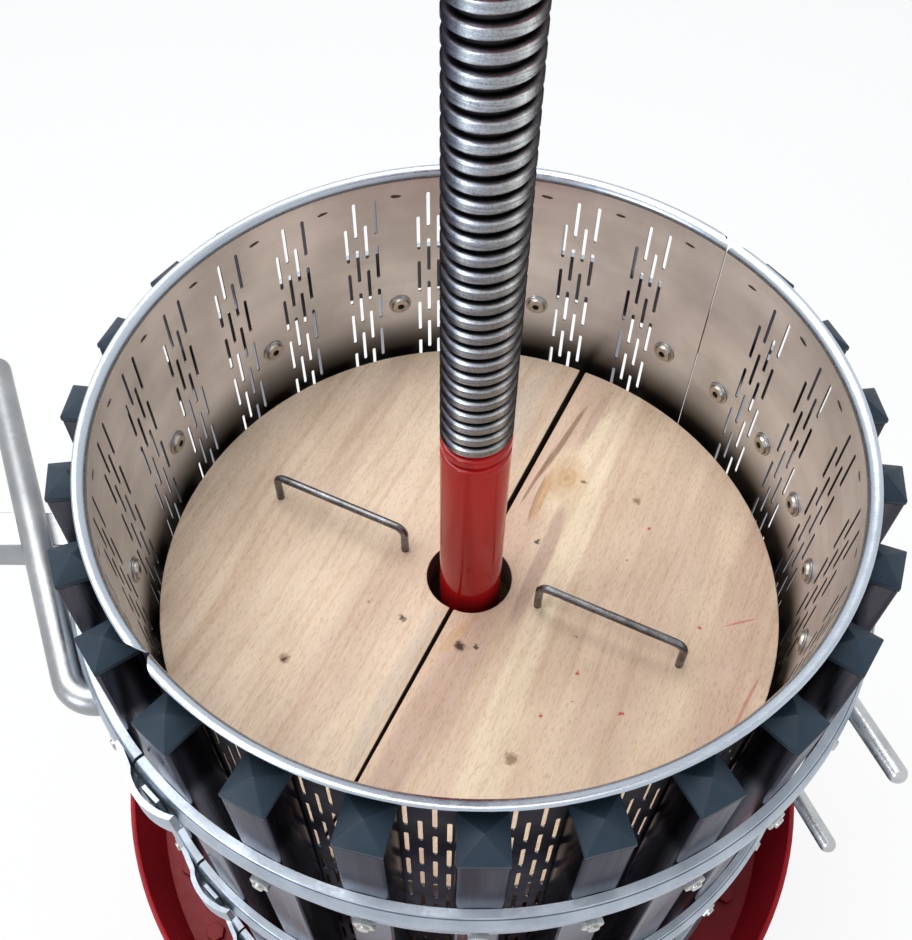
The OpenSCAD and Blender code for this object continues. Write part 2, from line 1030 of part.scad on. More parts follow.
// pin with a slanted tip and a knob, drawn up clear of the crown
module pawl(side) {
  translate([0, side * crown_r, holder_z + 2]) {
    difference() {
      cylinder(d = pawl_d, h = holder_h - 2 + pawl_drop + 2);
      rotate([0, 0, side > 0 ? 0 : 180])
        translate([pawl_d / 10, -pawl_d, 0])
          rotate([0, 40, 0])
            translate([0, 0, -30])
              cube([30, 2 * pawl_d, 60]);
    }
    translate([0, 0, holder_h - 2 + pawl_drop])
      cylinder(d = pawl_d + 10, h = 8);
    translate([0, 0, holder_h - 2 + pawl_drop + 8])
      cylinder(d = pawl_d - 6, h = 14);
    translate([0, 0, holder_h - 2 + pawl_drop + 30])
      sphere(d = pawl_d + 8);
  }
}

module pawl_driving() {
  color("silver")
  pawl(-1);
}

module pawl_returning() {
  color("silver")
  pawl(1);
}

module lever_bar() {
  color("silver")
  translate([lever_in, 0, lever_z])
    rotate([0, 90, 0])
      ring(lever_d / 2, lever_d / 2 - lever_wall, lever_out - lever_in);
}

// sleeve with a closed end on the lever
module lever_grip() {
  color("black")
  translate([lever_out - grip_len, 0, lever_z])
    rotate([0, 90, 0])
      difference() {
        cylinder(r = lever_d / 2 + grip_t, h = grip_len + grip_t);
        translate([0, 0, -1])
          cylinder(r = lever_d / 2, h = grip_len + 1);
      }
}

pan();
spout();
base_plate();
screw();
screw_washer();
screw_nut();
legs();
leg_bolts();
leg_nuts();
spacer_blocks_along();
spacer_blocks_across();
liner_back();
slats_back();
slat_caps_back();
hoop_upper_back();
hoop_middle_back();
hoop_lower_back();
hoop_bolts_back();
hoop_nuts_back();
seam_hooks();
carry_bar();
bar_arm();
liner_front();
slats_front();
slat_caps_front();
hoop_upper_front();
hoop_middle_front();
hoop_lower_front();
hoop_bolts_front();
hoop_nuts_front();
seam_tongues();
grip_rods();
board_left();
board_handle_left();
board_right();
board_handle_right();
pressure_plate();
thrust_washer();
ratchet_nut();
retaining_ring();
lever_holder();
pawl_driving();
pawl_returning();
lever_bar();
lever_grip();
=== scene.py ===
import math
import random

import bmesh
import bpy
from mathutils import Matrix, Vector


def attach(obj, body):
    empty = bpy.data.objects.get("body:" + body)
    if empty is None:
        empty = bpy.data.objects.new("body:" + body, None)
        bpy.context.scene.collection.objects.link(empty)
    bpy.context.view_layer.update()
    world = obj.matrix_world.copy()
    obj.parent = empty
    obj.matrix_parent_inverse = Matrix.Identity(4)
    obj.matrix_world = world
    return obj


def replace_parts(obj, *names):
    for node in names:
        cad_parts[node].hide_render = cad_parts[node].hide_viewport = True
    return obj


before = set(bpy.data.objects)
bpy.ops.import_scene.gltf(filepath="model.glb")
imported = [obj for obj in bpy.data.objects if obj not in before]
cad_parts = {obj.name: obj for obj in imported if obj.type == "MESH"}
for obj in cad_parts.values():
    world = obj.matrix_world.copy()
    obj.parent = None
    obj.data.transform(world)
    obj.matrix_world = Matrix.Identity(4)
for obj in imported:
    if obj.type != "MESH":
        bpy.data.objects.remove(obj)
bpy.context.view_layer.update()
random.seed(7)

# Camera: stands over the front of the cage and looks down on the boards,
# placed so that rim, boards, hoops, pan lip and screw fall where the photograph has them.
RIM_Z = 0.940
FRAME_W = 912.0
FOCAL_PX = 1095.2
lens = bpy.data.cameras.new("camera")
lens.sensor_fit = "HORIZONTAL"
lens.sensor_width = 36.0
lens.lens = FOCAL_PX * 36.0 / FRAME_W
lens.shift_x = (456.0 - 451.5) / FRAME_W
lens.shift_y = (509.0 - 470.0) / FRAME_W
lens.clip_start = 0.02
camera = bpy.data.objects.new("camera", lens)
bpy.context.collection.objects.link(camera)
camera.location = (0.0, -0.462, RIM_Z + 0.568)
camera.rotation_euler = (math.radians(34.438), math.radians(-0.484), math.radians(2.712))
bpy.context.scene.camera = camera

# Stage: a pale floor that keeps the shadow, a white surround for what the camera
# and the metal see, and soft lamps over the cage and to both sides.
bpy.context.scene.view_settings.view_transform = "Standard"
world = bpy.data.worlds.new("studio")
bpy.context.scene.world = world
world.use_nodes = True
wn, wl = world.node_tree.nodes, world.node_tree.links
wn.clear()


def add_node(nodes, kind, values=(), **settings):
    """A new shader node with its settings; an input gets a link or a plain value."""
    made = nodes.new("ShaderNode" + kind)
    for name, value in settings.items():
        setattr(made, name, value)
    for name, value in dict(values).items():
        if isinstance(value, bpy.types.NodeSocket):
            made.id_data.links.new(value, made.inputs[name])
        else:
            made.inputs[name].default_value = value
    return made


def object_place(nodes):
    """The Object output of the coordinate node that surface() has made."""
    return next(n for n in nodes if n.type == "TEX_COORD").outputs["Object"]


def cloud_colour(nodes):
    """The colour output of the ramp that surface() has made."""
    return next(n for n in nodes if n.type == "VALTORGB").outputs["Color"]


path = add_node(wn, "LightPath")
either = add_node(wn, "Math", {0: path.outputs["Is Camera Ray"],
                               1: path.outputs["Is Glossy Ray"]}, operation="MAXIMUM")
either2 = add_node(wn, "Math", {0: either.outputs[0], 1: path.outputs["Is Transmission Ray"]},
                   operation="MAXIMUM")
seen = add_node(wn, "Background", {"Color": (1.0, 1.0, 1.0, 1.0), "Strength": 1.0})
fill = add_node(wn, "Background", {"Color": (0.86, 0.93, 1.0, 1.0), "Strength": 0.55})
pick = add_node(wn, "MixShader", {"Fac": either2.outputs[0], 1: fill.outputs[0],
                                  2: seen.outputs[0]})
wl.new(pick.outputs[0], add_node(wn, "OutputWorld").inputs["Surface"])


def finish_mesh(bm, name, sharp=35.0, materials=()):
    """Writes a bmesh to a new object with smooth faces and sharp creases."""
    mesh = bpy.data.meshes.new(name)
    bm.to_mesh(mesh)
    bm.free()
    for polygon in mesh.polygons:
        polygon.use_smooth = True
    mesh.set_sharp_from_angle(angle=math.radians(sharp))
    piece = bpy.data.objects.new(name, mesh)
    bpy.context.collection.objects.link(piece)
    for material in materials:
        mesh.materials.append(material)
    return piece


def lamp(name, place, target, size, power, tint, shiny=False):
    light = bpy.data.lights.new(name, "AREA")
    light.shape = "DISK"
    light.size = size
    light.energy = power
    light.color = tint
    holder = bpy.data.objects.new(name, light)
    bpy.context.collection.objects.link(holder)
    holder.location = place
    aim = Vector(target) - Vector(place)
    holder.rotation_euler = aim.to_track_quat("-Z", "Y").to_euler()
    holder.visible_glossy = shiny


lamp("lamp_over", (-0.9, 0.5, 3.1), (0, 0, 0.8), 2.6, 64, (1.0, 0.98, 0.95), True)
lamp("lamp_left", (-2.0, -1.9, 1.9), (0, 0, 0.8), 0.9, 26, (0.90, 0.95, 1.0), True)
lamp("lamp_right", (2.3, -0.9, 2.1), (0, 0, 0.7), 1.4, 30, (1.0, 0.99, 0.97))

floor_bm = bmesh.new()
bmesh.ops.create_circle(floor_bm, cap_ends=True, radius=9.0, segments=64)
floor = finish_mesh(floor_bm, "floor")
floor_paint = bpy.data.materials.new("floor_paint")
floor_paint.use_nodes = True
fn, fl = floor_paint.node_tree.nodes, floor_paint.node_tree.links
floor_diffuse = fn["Principled BSDF"]
floor_diffuse.inputs["Roughness"].default_value = 0.9
floor_diffuse.inputs["Base Color"].default_value = (0.86, 0.87, 0.88, 1)
floor_white = add_node(fn, "Emission", {"Color": (1, 1, 1, 1), "Strength": 1.0})
floor_path = add_node(fn, "LightPath")
floor_seen = add_node(fn, "Math", {0: floor_path.outputs["Is Camera Ray"],
                                   1: floor_path.outputs["Is Glossy Ray"]}, operation="MAXIMUM")
floor_part = add_node(fn, "Math", {0: floor_seen.outputs[0], 1: 0.80}, operation="MULTIPLY")
floor_mix = add_node(fn, "MixShader", {"Fac": floor_part.outputs[0],
                                       1: floor_diffuse.outputs[0], 2: floor_white.outputs[0]})
fl.new(floor_mix.outputs[0], fn["Material Output"].inputs["Surface"])
floor.data.materials.append(floor_paint)


# Pan, spout, base plate and legs: 3 mm sheet and angle iron, welded and bolted,
# sprayed with glossy red enamel; a rolled lip stiffens the pan's edge.
def surface(name, light, dark, stretch, scale, rough, bump, metal=0.0, swing=0.08, coat=0.0,
            fine=6.0):
    """A finish with cloudy colour, streaked roughness and a fine surface relief."""
    material = bpy.data.materials.new(name)
    material.use_nodes = True
    nodes, links = material.node_tree.nodes, material.node_tree.links
    shader = nodes["Principled BSDF"]
    shader.inputs["Metallic"].default_value = metal
    if coat:
        shader.inputs["Coat Weight"].default_value = coat
        shader.inputs["Coat Roughness"].default_value = 0.06
    place = add_node(nodes, "TexCoord")
    spread = add_node(nodes, "Mapping", {"Vector": place.outputs["Object"], "Scale": stretch})
    cloud = add_node(nodes, "TexNoise", {"Vector": spread.outputs[0], "Scale": scale,
                                         "Detail": 5.0})
    tint = add_node(nodes, "ValToRGB")
    for stop, at, colour in zip(tint.color_ramp.elements, (0.32, 0.68), (dark, light)):
        stop.position = at
        stop.color = (*colour, 1)
    links.new(cloud.outputs["Fac"], tint.inputs["Fac"])
    links.new(tint.outputs["Color"], shader.inputs["Base Color"])
    streak = add_node(nodes, "TexNoise", {"Vector": spread.outputs[0], "Scale": scale * fine,
                                          "Detail": 3.0})
    shine = add_node(nodes, "MapRange", {"Value": streak.outputs["Fac"], "From Min": 0.3,
                                         "From Max": 0.7, "To Min": rough - swing,
                                         "To Max": rough + swing})
    links.new(shine.outputs[0], shader.inputs["Roughness"])
    relief = add_node(nodes, "Bump", {"Height": streak.outputs["Fac"], "Strength": bump,
                                      "Distance": 0.0004})
    links.new(relief.outputs[0], shader.inputs["Normal"])
    return material


red_enamel = surface("red_enamel", (0.34, 0.009, 0.017), (0.25, 0.006, 0.012), (1, 1, 1), 9.0,
                     0.46, 0.10, swing=0.06, fine=20.0)
red_enamel.node_tree.nodes["Principled BSDF"].inputs["Specular IOR Level"].default_value = 0.28
# Painted highlight: the rolled lip takes a lighter copy of the red enamel.
lip_highlight_enamel = surface("lip_highlight_enamel", (0.62, 0.020, 0.035), (0.54, 0.014, 0.026), (1, 1, 1), 9.0,
                     0.30, 0.10, swing=0.05, fine=20.0)


def softened(node_name, width, materials, body, name=None, sharp=35.0):
    """A copy of a CAD node with its edges rounded off, as cast, ground or painted edges are."""
    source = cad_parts[node_name]
    bm = bmesh.new()
    bm.from_mesh(source.data)
    bm.transform(source.matrix_world)
    bmesh.ops.remove_doubles(bm, verts=bm.verts, dist=2e-5)
    bmesh.ops.dissolve_limit(bm, angle_limit=math.radians(0.6), verts=bm.verts, edges=bm.edges)
    piece = finish_mesh(bm, name or node_name + "_skin", sharp, materials)
    if width:
        bevel = piece.modifiers.new("edges", "BEVEL")
        bevel.width = width
        bevel.segments = 2
        bevel.limit_method = "ANGLE"
        bevel.angle_limit = math.radians(40)
        bevel.harden_normals = False
    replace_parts(piece, node_name)
    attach(piece, body)
    return piece


def spun(name, outline, angle, start, steps, materials, closed=True, sharp=35.0, caps=True):
    """Turns an outline of (radius, height) points about the screw's axis."""
    bm = bmesh.new()
    ring = [bm.verts.new((r * math.cos(start), r * math.sin(start), z)) for r, z in outline]
    edges = [bm.edges.new(pair) for pair in zip(ring, ring[1:])]
    if closed:
        edges.append(bm.edges.new((ring[-1], ring[0])))
    full = abs(angle - 2 * math.pi) < 1e-6
    if caps and closed and not full:
        bm.faces.new(ring)
    bmesh.ops.spin(bm, geom=ring + edges, cent=(0, 0, 0), axis=(0, 0, 1), dvec=(0, 0, 0),
                   angle=angle, steps=steps, use_merge=full)
    if caps and closed and not full:
        turn = Matrix.Rotation(angle, 4, "Z")
        bm.verts.ensure_lookup_table()
        last = []
        for v in outline:
            goal = turn @ Vector((v[0] * math.cos(start), v[0] * math.sin(start), v[1]))
            last.append(min((w for w in bm.verts), key=lambda w: (w.co - goal).length))
        bm.faces.new(last)
    bmesh.ops.remove_doubles(bm, verts=bm.verts, dist=1e-6)
    bmesh.ops.recalc_face_normals(bm, faces=bm.faces)
    return finish_mesh(bm, name, sharp, materials)


def arc(cx, cy, r, a0, a1, n):
    return [(cx + r * math.cos(math.radians(a0 + (a1 - a0) * i / n)),
             cy + r * math.sin(math.radians(a0 + (a1 - a0) * i / n))) for i in range(n + 1)]


softened("pan", 0.0008, [red_enamel], "base")
softened("spout", 0.0008, [red_enamel], "base")
softened("base_plate", 0.0012, [red_enamel], "base")
softened("legs", 0.0010, [red_enamel], "base")
# The lip takes the lighter, painted-highlight copy of the enamel.
lip = spun("pan_lip", arc(0.3556, 0.3694, 0.0024, 0, 360, 14)[:-1], 2 * math.pi, 0, 180,
           [lip_highlight_enamel])
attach(lip, "base")

zinc = surface("zinc_plate", (0.55, 0.565, 0.58), (0.43, 0.445, 0.465), (1, 1, 1), 60.0, 0.34,
               0.25, metal=1.0, swing=0.08, fine=8.0)
softened("leg_bolts", 0.0006, [red_enamel], "base")
softened("leg_nuts", 0.0006, [zinc], "base")
softened("screw_washer", 0.0005, [zinc], "base")
softened("screw_nut", 0.0015, [zinc], "base")


# Screw: 50 mm steel bar with a right-hand round-shouldered thread of 12 mm lead,
# darker in the grooves, with a painted highlight and wear marks on the crests;
# the shank below is enamelled red.
SCREW_R = 0.025
GROOVE_R = 0.0205
LEAD = 0.012
THREAD_Z = 0.929
SCREW_TOP = 1.476
screw_steel = bpy.data.materials.new("screw_steel_highlight_and_wear")
screw_steel.use_nodes = True
sn, sl = screw_steel.node_tree.nodes, screw_steel.node_tree.links
steel = sn["Principled BSDF"]
steel.inputs["Metallic"].default_value = 1.0
steel.inputs["Specular Tint"].default_value = (0.35, 0.35, 0.38, 1)
where = add_node(sn, "TexCoord")
across = add_node(sn, "Mapping", {"Vector": where.outputs["Object"], "Scale": (1, 1, 0)})
radius = add_node(sn, "VectorMath", {0: across.outputs[0]}, operation="LENGTH")
crest = add_node(sn, "MapRange", {"Value": radius.outputs["Value"],
                                  "From Min": GROOVE_R + 0.0016, "From Max": SCREW_R - 0.0004})
lathe = add_node(sn, "Mapping", {"Vector": where.outputs["Object"], "Scale": (40, 40, 900)})
marks = add_node(sn, "TexNoise", {"Vector": lathe.outputs[0], "Scale": 1.0, "Detail": 4.0})
pits = add_node(sn, "TexNoise", {"Vector": where.outputs["Object"], "Scale": 800.0,
                                 "Detail": 3.0})
flat_dir = add_node(sn, "VectorMath", {0: across.outputs[0]}, operation="NORMALIZE")
side = add_node(sn, "SeparateXYZ", {0: flat_dir.outputs[0]})
round_it = add_node(sn, "MapRange", {"Value": side.outputs["X"], "From Min": -1.0})
# Painted highlight: the crests' tone by direction round the axis, a bright streak placed to suit
# the photograph's view.
painted_crest_highlight = add_node(sn, "ValToRGB")
painted_crest_highlight.color_ramp.elements[0].color = (0.05, 0.046, 0.052, 1)
painted_crest_highlight.color_ramp.elements[1].color = (0.07, 0.062, 0.060, 1)
for at, tone in ((0.08, (0.070, 0.070, 0.084)), (0.17, (0.20, 0.225, 0.29)),
                 (0.27, (0.80, 0.90, 1.0)), (0.36, (0.54, 0.59, 0.69)),
                 (0.52, (0.37, 0.39, 0.425)), (0.70, (0.42, 0.435, 0.45)),
                 (0.82, (0.76, 0.79, 0.79)), (0.92, (0.19, 0.185, 0.185))):
    painted_crest_highlight.color_ramp.elements.new(at).color = (*tone, 1)
sl.new(round_it.outputs[0], painted_crest_highlight.inputs["Fac"])
metal = painted_crest_highlight.outputs["Color"]
# Wear and lathe marks mottle the painted highlight.
for source, low, dull, high, share in ((pits, 0.34, (0.62, 0.61, 0.60, 1), 0.52, 0.8),
                                       (marks, 0.36, (0.60, 0.60, 0.62, 1), 0.56, 0.9)):
    wear = add_node(sn, "ValToRGB")
    wear.color_ramp.elements[0].position = low
    wear.color_ramp.elements[0].color = dull
    wear.color_ramp.elements[1].position = high
    wear.color_ramp.elements[1].color = (1, 1, 1, 1)
    sl.new(source.outputs["Fac"], wear.inputs["Fac"])
    highlight_with_wear = add_node(sn, "Mix", data_type="RGBA", blend_type="MULTIPLY")
    highlight_with_wear.inputs["Factor"].default_value = share
    sl.new(metal, highlight_with_wear.inputs["A"])
    sl.new(wear.outputs["Color"], highlight_with_wear.inputs["B"])
    metal = highlight_with_wear.outputs["Result"]
# Darker in the grooves, by distance from the axis.
groove_tone = add_node(sn, "Mix", {"Factor": crest.outputs[0], "B": metal,
                             "A": (0.042, 0.040, 0.045, 1)}, data_type="RGBA")
sl.new(groove_tone.outputs["Result"], steel.inputs["Base Color"])
gloss = add_node(sn, "MapRange", {"Value": marks.outputs["Fac"], "To Min": 0.24, "To Max": 0.46})
sl.new(gloss.outputs[0], steel.inputs["Roughness"])
turned = add_node(sn, "Bump", {"Height": marks.outputs["Fac"], "Strength": 0.35,
                               "Distance": 0.0003})
pitted = add_node(sn, "Bump", {"Height": pits.outputs["Fac"], "Normal": turned.outputs[0],
                               "Strength": 0.10, "Distance": 0.0004})
sl.new(pitted.outputs[0], steel.inputs["Normal"])
shank_red = surface("shank_red", (0.44, 0.008, 0.010), (0.34, 0.005, 0.008), (60, 60, 1.2), 1.0,
                    0.10, 0.05, swing=0.03, fine=5.0)
shank_red.node_tree.nodes["Principled BSDF"].inputs["Specular IOR Level"].default_value = 0.36

thread_bm = bmesh.new()
thread_line = [(GROOVE_R, 0.0), (GROOVE_R, 0.0036), (0.0212, 0.0040), (0.0240, 0.0043),
               (0.0248, 0.0046), (SCREW_R, 0.0051), (SCREW_R, 0.0057), (SCREW_R, 0.0092),
               (SCREW_R, 0.0098), (0.0247, 0.0105), (0.0240, 0.0110), (0.0226, 0.0116)]
RUN_OUT = 0.021
turns = int((SCREW_TOP - THREAD_Z) / LEAD) + 2
start_ring = [thread_bm.verts.new((r, 0, z + THREAD_Z - 3 * LEAD)) for r, z in
              thread_line + [(GROOVE_R, LEAD)]]
thread_edges = [thread_bm.edges.new(pair) for pair in zip(start_ring, start_ring[1:])]
bmesh.ops.spin(thread_bm, geom=start_ring + thread_edges, cent=(0, 0, 0), axis=(0, 0, 1),
               dvec=(0, 0, LEAD / 40), angle=2 * math.pi * turns, steps=40 * turns)
bmesh.ops.remove_doubles(thread_bm, verts=thread_bm.verts, dist=2e-5)
bmesh.ops.bisect_plane(thread_bm, geom=thread_bm.verts[:] + thread_bm.edges[:] +
                       thread_bm.faces[:], plane_co=(0, 0, THREAD_Z - RUN_OUT),
                       plane_no=(0, 0, -1), clear_outer=True)
bmesh.ops.recalc_face_normals(thread_bm, faces=thread_bm.faces)
for face in thread_bm.faces:
    low = face.calc_center_median().z < THREAD_Z + 0.001
    face.material_index = 1 if low else 0
probe = max(thread_bm.faces, key=lambda f: f.calc_center_median().xy.length)
if probe.normal.dot(probe.calc_center_median()) < 0 and probe.normal.xy.dot(
        probe.calc_center_median().xy) < 0:
    bmesh.ops.reverse_faces(thread_bm, faces=thread_bm.faces)
thread = finish_mesh(thread_bm, "screw_thread", 50.0, [screw_steel, shank_red])
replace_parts(thread, "screw")
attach(thread, "base")
thread_end = THREAD_Z + LEAD * (turns - 3)
top = spun("screw_end", [(0.0, 1.4800), (0.0190, 1.4800), (0.0215, 1.4780), (0.0236, 1.4750),
                         (0.0236, thread_end - 0.004), (0.0204, thread_end - 0.006),
                         (0.0, thread_end - 0.006)],
           2 * math.pi, 0, 96, [screw_steel])
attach(top, "base")
shank = spun("screw_shank", [(0.0, THREAD_Z - RUN_OUT + 0.0010),
                             (0.0236, THREAD_Z - RUN_OUT + 0.0010),
                             (0.0246, THREAD_Z - RUN_OUT), (0.0249, THREAD_Z - RUN_OUT - 0.002),
                             (0.0249, 0.3004), (0.0245, 0.3000), (0.0200, 0.3000),
                             (0.0200, 0.2475), (0.0185, 0.2460), (0.0, 0.2460)],
             2 * math.pi, 0, 96, [shank_red])
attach(shank, "base")


# Liner: 1.2 mm stainless sheet in two halves, punched with staggered slots between the
# slats, flared and rolled at the rim, and tacked to each slat near the top.
LINER_R = 0.257
LINER_T = 0.0012
FLARE = 0.007
SLATS = 13
STEP = math.pi / SLATS
SEAM = math.radians(44.4)
HOOP_GAP = 0.001
HOOP_DROP = 0.107
TACK_DROP = 0.0205
HALF_SEAM = 0.0005
COLS = 4
COL_W = 0.00857
SLOT_W = 0.0030
SLOT_L = 0.036
PITCH = 0.049
ROWS = 12
CAGE_Z = 0.300
TRIM = 0.0035
TRIM_RUN = 0.020
stainless = surface("liner_stainless", (0.66, 0.695, 0.765), (0.575, 0.61, 0.675), (4, 4, 60), 1.0,
                    0.34, 0.08, metal=1.0, swing=0.05, fine=14.0)
ln, ll = stainless.node_tree.nodes, stainless.node_tree.links
# Painted shade: the inside of the sheet is darkened towards the boards, between z 0.797 and 0.744.
height = add_node(ln, "SeparateXYZ", {0: object_place(ln)})
board_shade_fade = add_node(ln, "MapRange", {"Value": height.outputs["Z"], "From Min": 0.744,
                                  "From Max": 0.797}, interpolation_type="SMOOTHSTEP")
board_shade = add_node(ln, "Mix", {"Factor": board_shade_fade.outputs[0], "A": (0.085, 0.083, 0.080, 1)},
                data_type="RGBA")
smear = add_node(ln, "TexNoise", {"Vector": object_place(ln), "Scale": 11.0, "Detail": 6.0})
wiped = add_node(ln, "MapRange", {"Value": smear.outputs["Fac"], "From Min": 0.36,
                                  "From Max": 0.66, "To Min": 0.84, "To Max": 1.20})
dulled = add_node(ln, "VectorMath", {0: cloud_colour(ln), "Scale": wiped.outputs[0]},
                  operation="SCALE")
ll.new(dulled.outputs[0], board_shade.inputs["B"])
ll.new(board_shade.outputs["Result"], ln["Principled BSDF"].inputs["Base Color"])
# Painted shade: the outside of the sheet and the walls of the slots take this darker copy of the
# stainless.
outside_shade_stainless = surface("liner_outside_shade", (0.13, 0.125, 0.135), (0.085, 0.082, 0.09), (4, 4, 60), 1.0,
                    0.40, 0.08, metal=1.0, swing=0.05, fine=14.0)
outside_shade_stainless.node_tree.nodes["Principled BSDF"].inputs["Specular Tint"].default_value = (
    0.30, 0.30, 0.34, 1)

rim_steel = surface("liner_rim", (0.52, 0.585, 0.67), (0.42, 0.475, 0.545), (9, 9, 9), 1.0,
                    0.26, 0.06, metal=1.0, swing=0.06, fine=14.0)
rn, rl = rim_steel.node_tree.nodes, rim_steel.node_tree.links
# Painted shade: the flare has its own copy of the stainless, darkened towards its foot to suit the
# photograph.
rim_height = add_node(rn, "SeparateXYZ", {0: object_place(rn)})
rim_rise = add_node(rn, "MapRange", {"Value": rim_height.outputs["Z"],
                                     "From Min": RIM_Z - FLARE, "From Max": RIM_Z - 0.0015,
                                     "To Min": 0.42})
rim_shade = add_node(rn, "VectorMath", {0: cloud_colour(rn), "Scale": rim_rise.outputs[0]},
                     operation="SCALE")
rl.new(rim_shade.outputs[0], rn["Principled BSDF"].inputs["Base Color"])


def slot_cell():
    """One punched cell of the sheet, flat: width COL_W, height PITCH, with a round-ended slot."""
    bm = bmesh.new()
    w, h = COL_W / 2, PITCH / 2
    outer = ([(-w + COL_W * i / 4, -h) for i in range(4)] +
             [(w, -h + PITCH * i / 4) for i in range(4)] +
             [(w - COL_W * i / 4, h) for i in range(4)] +
             [(-w, h - PITCH * i / 4) for i in range(4)])
    r, straight = SLOT_W / 2, SLOT_L / 2 - SLOT_W / 2
    inner = (arc(0, -straight, r, 180, 360, 4) +
             [(r, -straight + 2 * straight * i / 4) for i in (1, 2, 3)] +
             arc(0, straight, r, 0, 180, 4) +
             [(-r, straight - 2 * straight * i / 4) for i in (1, 2, 3)])
    rings = []
    for points in (outer, inner):
        ring = [bm.verts.new((x, 0, y)) for x, y in points]
        rings += [bm.edges.new((ring[i], ring[(i + 1) % 16])) for i in range(16)]
    bmesh.ops.bridge_loops(bm, edges=rings)
    return bm


def half_liner(name, middle, body):
    """Cells, plain strips and the flare of one half, modelled flat and rolled to its radius."""
    bm = bmesh.new()
    cell_bm = slot_cell()
    cell = bpy.data.meshes.new("cell")
    cell_bm.to_mesh(cell)
    cell_bm.free()
    half_w = LINER_R * math.pi / 2 - HALF_SEAM
    first = RIM_Z - TACK_DROP + 0.0065
    levels = [CAGE_Z] + [first - PITCH / 4 * i for i in range(50, -1, -1)] + [RIM_Z - FLARE]

    def strip(x0, x1, parts, top, bottom):
        rows = [z for z in levels if bottom - 1e-6 <= z <= top + 1e-6]
        for i in range(parts):
            a, b = x0 + (x1 - x0) * i / parts, x0 + (x1 - x0) * (i + 1) / parts
            for z0, z1 in zip(rows, rows[1:]):
                bm.faces.new([bm.verts.new(p) for p in
                              ((a, 0, z0), (b, 0, z0), (b, 0, z1), (a, 0, z1))])

    edge = -half_w
    for g in range(1, SLATS):
        centre = (-math.pi / 2 + STEP * g) * LINER_R
        left = centre - COLS / 2 * COL_W
        strip(edge, left, 6, RIM_Z, CAGE_Z)
        for c in range(COLS):
            top = first - (PITCH / 2 if c % 2 else 0)
            x = left + COL_W * c
            strip(x, x + COL_W, 4, RIM_Z, top)
            strip(x, x + COL_W, 4, top - PITCH * ROWS, CAGE_Z)
            for j in range(ROWS):
                before = len(bm.verts)
                bm.from_mesh(cell)
                bm.verts.ensure_lookup_table()
                bmesh.ops.translate(bm, verts=bm.verts[before:],
                                    vec=(x + COL_W / 2, 0, top - PITCH * (j + 0.5)))
        edge = left + COLS * COL_W
    strip(edge, half_w, 6, RIM_Z, CAGE_Z)
    bpy.data.meshes.remove(cell)
    bmesh.ops.remove_doubles(bm, verts=bm.verts, dist=2e-5)
    rim = [e for e in bm.edges if e.is_boundary and
           all(v.co.z > RIM_Z - FLARE - 1e-5 for v in e.verts)]
    flare = (arc(FLARE, 0, FLARE, 180, 90, 7)[1:] +
             arc(FLARE, FLARE - 0.0016, 0.0016, 90, -150, 7)[1:])
    for dx, dz in flare:
        made = bmesh.ops.extrude_edge_only(bm, edges=rim)
        verts = [v for v in made["geom"] if isinstance(v, bmesh.types.BMVert)]
        rim = [e for e in made["geom"] if isinstance(e, bmesh.types.BMEdge)
               and all(v in verts for v in e.verts)]
        for v in verts:
            v.co.y = dx
            v.co.z = RIM_Z - FLARE + dz
            near = max(0.0, 1 - (half_w - abs(v.co.x)) / TRIM_RUN)
            v.co.x -= math.copysign(TRIM * near * dx / FLARE, v.co.x)
    for v in bm.verts:
        turn = middle + v.co.x / LINER_R
        r = LINER_R + v.co.y
        v.co = (r * math.cos(turn), r * math.sin(turn), v.co.z)
    bmesh.ops.recalc_face_normals(bm, faces=bm.faces)
    wall = min(bm.faces, key=lambda f: f.calc_center_median().z)
    if wall.normal.xy.dot(wall.calc_center_median().xy) > 0:
        bmesh.ops.reverse_faces(bm, faces=bm.faces)
    bmesh.ops.solidify(bm, geom=bm.faces[:], thickness=LINER_T)
    # Inner faces take the stainless, outer faces and slot walls the darker painted-shade copy, the
    # flare the rim finish.
    for face in bm.faces:
        place = face.calc_center_median()
        inside = face.normal.xy.dot(place.xy.normalized()) < -0.5
        face.material_index = 2 if place.z > RIM_Z - FLARE else 0 if inside else 1
    sheet = finish_mesh(bm, name, 40.0, [stainless, outside_shade_stainless, rim_steel])
    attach(sheet, body)
    return sheet


BACK = SEAM + math.pi / 2
FRONT = SEAM - math.pi / 2
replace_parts(half_liner("liner_sheet_back", BACK, "cage_back"), "liner_back")
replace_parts(half_liner("liner_sheet_front", FRONT, "cage_front"), "liner_front")

tack_brown = surface("tack_scorch", (0.10, 0.075, 0.06), (0.03, 0.022, 0.018), (1, 1, 1), 900.0,
                     0.55, 0.4, metal=0.6)


def slat_angle(i):
    return -math.pi / 2 + STEP * (i + 0.5)


